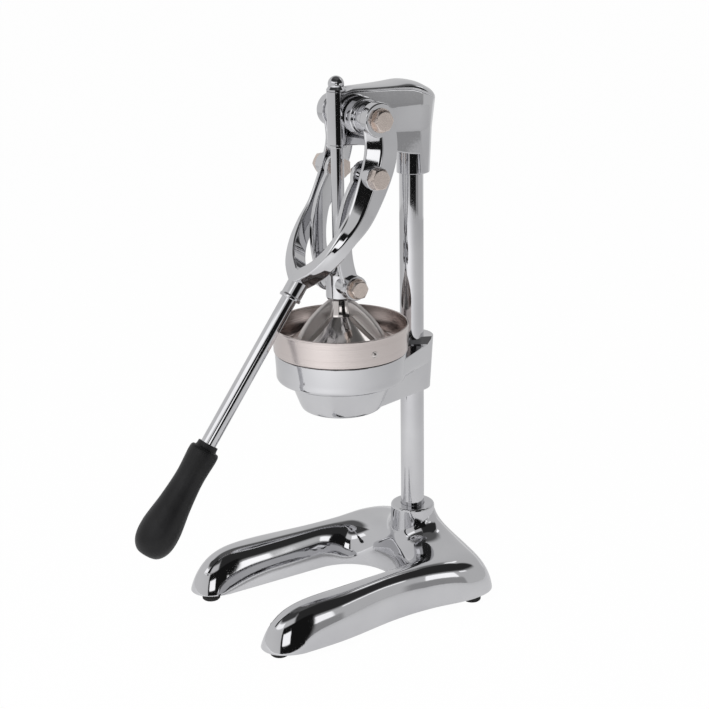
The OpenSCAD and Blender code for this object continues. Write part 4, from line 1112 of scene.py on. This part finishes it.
def grip_patches(s):
    """Grip: a collar, a waist and a bulb on one smooth turned outline, closed over the bar's end."""
    outer = smooth([
        (10.6, 0), (11.2, 5), (14.4, 6.5), (15.4, 13), (14.4, 38), (16.6, 66), (s.grip_r, s.grip_len - 31),
        (s.grip_r - 1.6, s.grip_len - 13), (s.grip_r - 9, s.grip_len - 2.5), (0, s.grip_len),
    ], 220)
    outer[:, 0] = np.maximum(outer[:, 0], 0)
    mouth = [(0, GRIP_DEEP), (s.bar_bore, GRIP_DEEP), (s.bar_bore, 0.4), (s.bar_d / 2 + 0.5, 0.0)]
    at = np.array([0, *s.socket_end]) + s.bar_len * s.bar_run
    return [lathe(np.concatenate([mouth, outer]), at, s.bar_run, 120)]


class PressFork(bpy.types.Operator):
    """Wishbone fork of the lever"""

    bl_idname = "press.fork"
    bl_label = "Lever fork"

    def execute(self, context):
        build("wishbone", fork_patches(press_sizes()), "lever", "lever_fork", "cast_chrome")
        return DONE


class PressGrip(bpy.types.Operator):
    """Black grip at the end of the lever"""

    bl_idname = "press.grip"
    bl_label = "Grip"

    def execute(self, context):
        build("hand_grip", grip_patches(press_sizes()), "lever", "grip", "grip_plastic", 50, False)
        return DONE


# Bolts: head's height, width across flats and shank's radius

BOLT_SIZES = {"pivot_bolt": (6, 19, 6), "link_bolt": (8, 19, 6), "crosshead_bolt": (6, 17, 5)}
HEX_FACE, HEX_CUT, HEX_SHARP = 0.94, np.tan(np.radians(30)), 25.0
PIVOT_WASHER, PIVOT_DEEP, CROSS_DEEP = 1.3, 18.0, 3.0


def hex_bolt(at, head_in, shank_in, head_t, flats, shank_r):
    """Hex bolt along X: a head cut back at 30 degrees beyond its round face, and a plain shank.

    The head's rows go out over the face and down the cut to the flats, along them, and in to the middle.
    """
    a = around(72)[None, :]
    reach = flats / 2 / np.cos((a + np.pi / 6) % (np.pi / 3) - np.pi / 6)
    face = HEX_FACE * flats / 2
    inner, cut = np.array([[0], [0.4], [0.75], [1]]), np.array([[0.5], [1]])
    rows = np.concatenate([inner * face + 0 * a, mix(face, reach, cut), reach, reach, 0 * a])
    x = head_t - np.maximum(rows - face, 0) * HEX_CUT
    x[-3:] = np.array([[0.5 * head_t], [0], [0]])
    points = np.stack([head_in + x, at[0] + rows * np.sin(a), at[1] + rows * np.cos(a)], -1)
    return [(points, False, True), bar_along_x(at, shank_in, head_in + 0.5, shank_r, 0.5, 48)]


class PressBolts(bpy.types.Operator):
    """Hex bolts of the lever pivot, the links and the crosshead"""

    bl_idname = "press.bolts"
    bl_label = "Hex bolts"

    def execute(self, context):
        s = press_sizes()
        places = {
            "pivot_bolt": ("stand", s.pivot, s.arm_out + PIVOT_WASHER, s.fork_half - PIVOT_DEEP),
            "link_bolt": ("lever", s.link_top, s.pad_out, s.fork_half + SIDE_GAP),
            "crosshead_bolt": (
                "plunger", s.link_low, s.link_out + SIDE_GAP + WASHER, s.rod_d / 2 + CROSS_DEEP,
            ),
        }
        for name, (body, *place) in places.items():
            patches = hex_bolt(*place, *BOLT_SIZES[name])
            build_sides(f"{name}_hex", patches, body, name, "bolt_steel", HEX_SHARP)
        return DONE


# CAD parts that stay in view

KEPT = {
    "tube_chrome": ["column", "press_rod", "rod_cap"],
    "bar_chrome": ["lever_bar"],
    "bell_steel": ["strainer_cone"],
    "bolt_steel": [
        "foot_screws", "column_plug", "column_bolt", "column_washer", "head_set_screw", "holder_set_screw",
        "crosshead_pin", "bell_washer", "bell_nut", "crosshead_washers", "link_nuts", "pivot_washers",
    ],
    "foot_rubber": ["foot_front_left", "foot_front_right", "foot_rear_left", "foot_rear_right"],
}


class PressMachined(bpy.types.Operator):
    """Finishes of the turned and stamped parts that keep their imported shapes"""

    bl_idname = "press.machined"
    bl_label = "Machined parts"

    def execute(self, context):
        for name, nodes in KEPT.items():
            for node in nodes:
                mesh = frame["nodes"][node].data
                mesh.materials.clear()
                mesh.materials.append(finish_named(name))
        return DONE


# Stage

SENSOR, CLIP = 36.0, (0.05, 50.0)
FLOOR_HALF, FLOOR_SEEN, FLOOR_MIRRORED = 9.0, 0.985, 0.3
WHITE = (1.0, 1.0, 1.0, 1.0)
TENT_R, TENT_COLS, TENT_ROWS, TENT_LOW = 1.8, 600, 183, -1
# Painted glow of the tent's cloth, and the extra painted light on the camera's left
CLOTH_GLOW, CLOTH_GLOW_LEFT = 0.65, 0.07
# Lamps: place and aim as (towards the camera, to its right, up) in metres, then size and watts
KEY_AT, KEY_AIM, KEY_SIZE, KEY_WATTS = (1.15, -0.6, 1.15), (0.55, -0.15, 0.0), 0.7, 21
BACK_AT, BACK_SIZE, BACK_WATTS = (-1.2, 0.3, 1.6), 0.9, 7
MIDDLE = (0.0, 0.05, 0.28)
# The panels paint light and shade into that glow: the bright ones are painted reflections of softboxes, a
# strip light and a wall, the dark ones painted shade
# Panels of the tent: bearing from the camera, rise, half width, half height, soft edge (degrees), glow
PANELS = {
    "bright wall behind": (180, 2, 50, 6, 6, 0.8),
    "painted dark top": (0, 90, 360, 32, 14, 0.12),
    "dark room, upper right": (60, 46, 42, 22, 8, 0.03),
    "dark room, upper left": (-45, 63, 62, 14, 8, 0.06),
    "shaded wall": (52, 3, 10, 7, 5, 0.34),
    "dark opening in front": (16, 13, 29, 20, 3, 0.01),
    "left softbox glow": (-45, 39.5, 27, 5.5, 2, 1.35),
    "front softbox glow": (3, 16.5, 10, 6, 1.4, 1.4),
    "low softbox glow": (50.5, 15.5, 5.5, 5.5, 1.4, 1.4),
    "strip light glow": (71, 22, 7, 1.4, 1.2, 1.3),
    "high softbox glow": (117, 54, 6, 5, 1.5, 1.4),
}


def sight_lines(a):
    """Level directions towards the camera and to its right, at its turn."""
    return np.array([np.sin(a), -np.cos(a), 0.0]), np.array([np.cos(a), np.sin(a), 0.0])


def camera_matrix(k):
    """Camera on a circle round the pressing axis, looking at it, then turned by yaw, pitch and roll."""
    back, right = sight_lines(k.camera_turn)
    place = (back * k.camera_far + UP * k.camera_high) * MM + AXIS
    level = -back * np.cos(k.camera_yaw) + right * np.sin(k.camera_yaw)
    right = right * np.cos(k.camera_yaw) + back * np.sin(k.camera_yaw)
    ahead = level * np.cos(k.camera_pitch) - UP * np.sin(k.camera_pitch)
    up = UP * np.cos(k.camera_pitch) + level * np.sin(k.camera_pitch)
    x = right * np.cos(k.camera_roll) + up * np.sin(k.camera_roll)
    y = up * np.cos(k.camera_roll) - right * np.sin(k.camera_roll)
    return Matrix([*np.stack([x, y, -ahead, place], 1).tolist(), [0, 0, 0, 1]])


def white_for_sight(tree, lit, white, seen, reflected):
    """Plain white mixed in: by `seen` for the camera's rays, by `reflected` for those from metal or glass."""
    path = add(tree, "LightPath").outputs
    away = maths(tree, "MAXIMUM", path["Is Glossy Ray"], path["Is Transmission Ray"])
    shares = maths(tree, "MULTIPLY", away, reflected), maths(tree, "MULTIPLY", path["Is Camera Ray"], seen)
    return add(tree, "MixShader", {0: maths(tree, "MAXIMUM", *shares), 1: lit, 2: white}).outputs[0]


def pale_world(strength):
    """White surroundings for the camera and for reflections, an even softer light on everything else."""
    world = bpy.context.scene.world = bpy.data.worlds.new("studio")
    tree = fresh_tree(world)
    soft, white = (
        add(tree, "Background", {"Color": WHITE, "Strength": level}).outputs[0] for level in (strength, 1.0)
    )
    add(tree, "OutputWorld", {"Surface": white_for_sight(tree, soft, white, 1.0, 1.0)})


def floor_paper(colour):
    """Pale paper: lit as it is, with a share of plain white added for the camera, so shadows stay faint."""
    tree, shader, place = start_finish("floor_paper")
    fibre = shades(tree, clouds(tree, place, scale=60.0, detail=4.0), colour, 0.985)
    fill(tree, shader, {"Base Color": fibre, "Roughness": 0.9, "Specular IOR Level": 0.1})
    white = add(tree, "Emission", {"Color": WHITE}).outputs[0]
    lit = white_for_sight(tree, shader.outputs["BSDF"], white, FLOOR_SEEN, FLOOR_MIRRORED)
    fill(tree, tree.get_output_node("ALL"), {"Surface": lit})
    return bpy.data.materials["floor_paper"]


def tent_glow(bearing, rise):
    """Painted glow of the tent: pale cloth painted a little brighter on the camera's left, with each panel's
    painted light and shade mixed in where one is inside it.
    """
    glow = CLOTH_GLOW - CLOTH_GLOW_LEFT * np.sin(np.radians(bearing))
    for at, high, half_w, half_h, edge, level in PANELS.values():
        in_w = half_w - np.abs((bearing - at + 180) % 360 - 180)
        in_h = half_h - np.abs(rise - high)
        inside = ramp(in_w, -edge / 2, edge / 2) * ramp(in_h, -edge / 2, edge / 2)
        glow = mix(glow, level, ease(inside))
    return glow


def tent(near, right):
    """Dome of cloth seen only in reflections: a grid of bearings and rises, with its painted glow of light
    and shade as a colour.
    """
    bearings, rises = np.linspace(-180, 180, TENT_COLS + 1)[:-1], np.linspace(TENT_LOW, 90, TENT_ROWS)
    bearing, rise = np.meshgrid(bearings, rises, indexing="xy")
    a, b = np.radians(bearing)[..., None], np.radians(rise)[..., None]
    points = TENT_R * (np.cos(b) * (np.cos(a) * near + np.sin(a) * right) + np.sin(b) * UP)
    mesh = bpy.data.meshes.new("tent")
    mesh.from_pydata(points.reshape(-1, 3) + AXIS, [], grid_quads(*bearing.shape, False, True))
    shade = np.repeat(tent_glow(bearing, rise).ravel(), 4).astype(np.float32)
    mesh.color_attributes.new("glow", "FLOAT_COLOR", "POINT").data.foreach_set("color", shade)
    # Emission from the glow attribute: the cloth shines as painted light, though it is no lamp
    cloth = bpy.data.materials.new("tent_cloth")
    tree = fresh_tree(cloth)
    colour = add(tree, "Attribute", attribute_name="glow").outputs["Color"]
    add(tree, "OutputMaterial", {"Surface": add(tree, "Emission", {"Color": colour}).outputs[0]})
    mesh.materials.append(cloth)
    dome = put("tent", mesh)
    dome.visible_camera = dome.visible_diffuse = dome.visible_shadow = False
    dome.visible_transmission = dome.visible_volume_scatter = False


def lamp(name, place, aim, size, watts):
    """Square soft light that looks at a point."""
    data = bpy.data.lights.new(name, "AREA")
    data.shape, data.size, data.energy = "SQUARE", size, watts
    light = put(name, data)
    light.location = place
    light.rotation_mode = "QUATERNION"
    light.rotation_quaternion = (Vector(aim) - Vector(place)).to_track_quat("-Z", "Y")
    light.visible_glossy = False


class PressStudio(bpy.types.Operator):
    """Floor, lights, a tent for the metal to reflect, and the camera"""

    bl_idname = "press.studio"
    bl_label = "Studio"

    def execute(self, context):
        scene = context.scene
        settings = scene.press_stage
        scene.view_settings.view_transform = "Standard"
        camera = bpy.data.cameras.new("camera")
        camera.sensor_width, camera.lens = SENSOR, settings.lens
        camera.clip_start, camera.clip_end = CLIP
        scene.camera = put("camera", camera)
        scene.camera.matrix_world = camera_matrix(in_mm(settings))
        pale_world(settings.ambient)
        mesh = bpy.data.meshes.new("floor")
        corners = FLOOR_HALF * np.array([(-1, -1, 0), (1, -1, 0), (1, 1, 0), (-1, 1, 0)])
        mesh.from_pydata(corners, [], [(0, 1, 2, 3)])
        mesh.materials.append(floor_paper(settings.floor))
        put("floor", mesh)
        near, right = sight_lines(settings.camera_turn)
        sight = np.array([near, right, UP])
        lamp("key_light", KEY_AT @ sight, KEY_AIM @ sight, KEY_SIZE, KEY_WATTS)
        lamp("back_light", BACK_AT @ sight, MIDDLE, BACK_SIZE, BACK_WATTS)
        tent(near, right)
        return DONE


class PressPanel(bpy.types.Panel):
    """Buttons for the pieces of the press, in the order they are built"""

    bl_idname = "VIEW3D_PT_press"
    bl_label = "Lever press"
    bl_space_type = "VIEW_3D"
    bl_region_type = "UI"
    bl_category = "Press"

    def draw(self, context):
        for step in STEPS:
            self.layout.operator(step.bl_idname)
        for name in GROUPS:
            group = getattr(context.scene, name)
            box = self.layout.box()
            for row in group.bl_rna.properties:
                if row.identifier not in ("rna_type", "name"):
                    box.prop(group, row.identifier)


GROUPS = {
    "press_base": PressBaseSizes, "press_stand": PressStandSizes, "press_lever": PressLeverSizes,
    "press_finishes": PressFinishes, "press_stage": PressStage,
}
STEPS = [
    PressStudio, PressBase, PressHead, PressHolder, PressCup, PressPlunger, PressLinks, PressFork, PressGrip,
    PressBolts, PressMachined,
]
CLASSES = [*GROUPS.values(), *STEPS, PressPanel]


def register():
    """Classes, and the settings groups on the scene."""
    for kind in CLASSES:
        bpy.utils.register_class(kind)
    for name, kind in GROUPS.items():
        setattr(bpy.types.Scene, name, bpy.props.PointerProperty(type=kind))


def unregister():
    """Takes both away again."""
    for name in GROUPS:
        delattr(bpy.types.Scene, name)
    for kind in reversed(CLASSES):
        bpy.utils.unregister_class(kind)


def main():
    """Builds all pieces in order."""
    register()
    for step in STEPS:
        area, verb = step.bl_idname.split(".")
        getattr(getattr(bpy.ops, area), verb)()


if __name__ == "__main__":
    main()
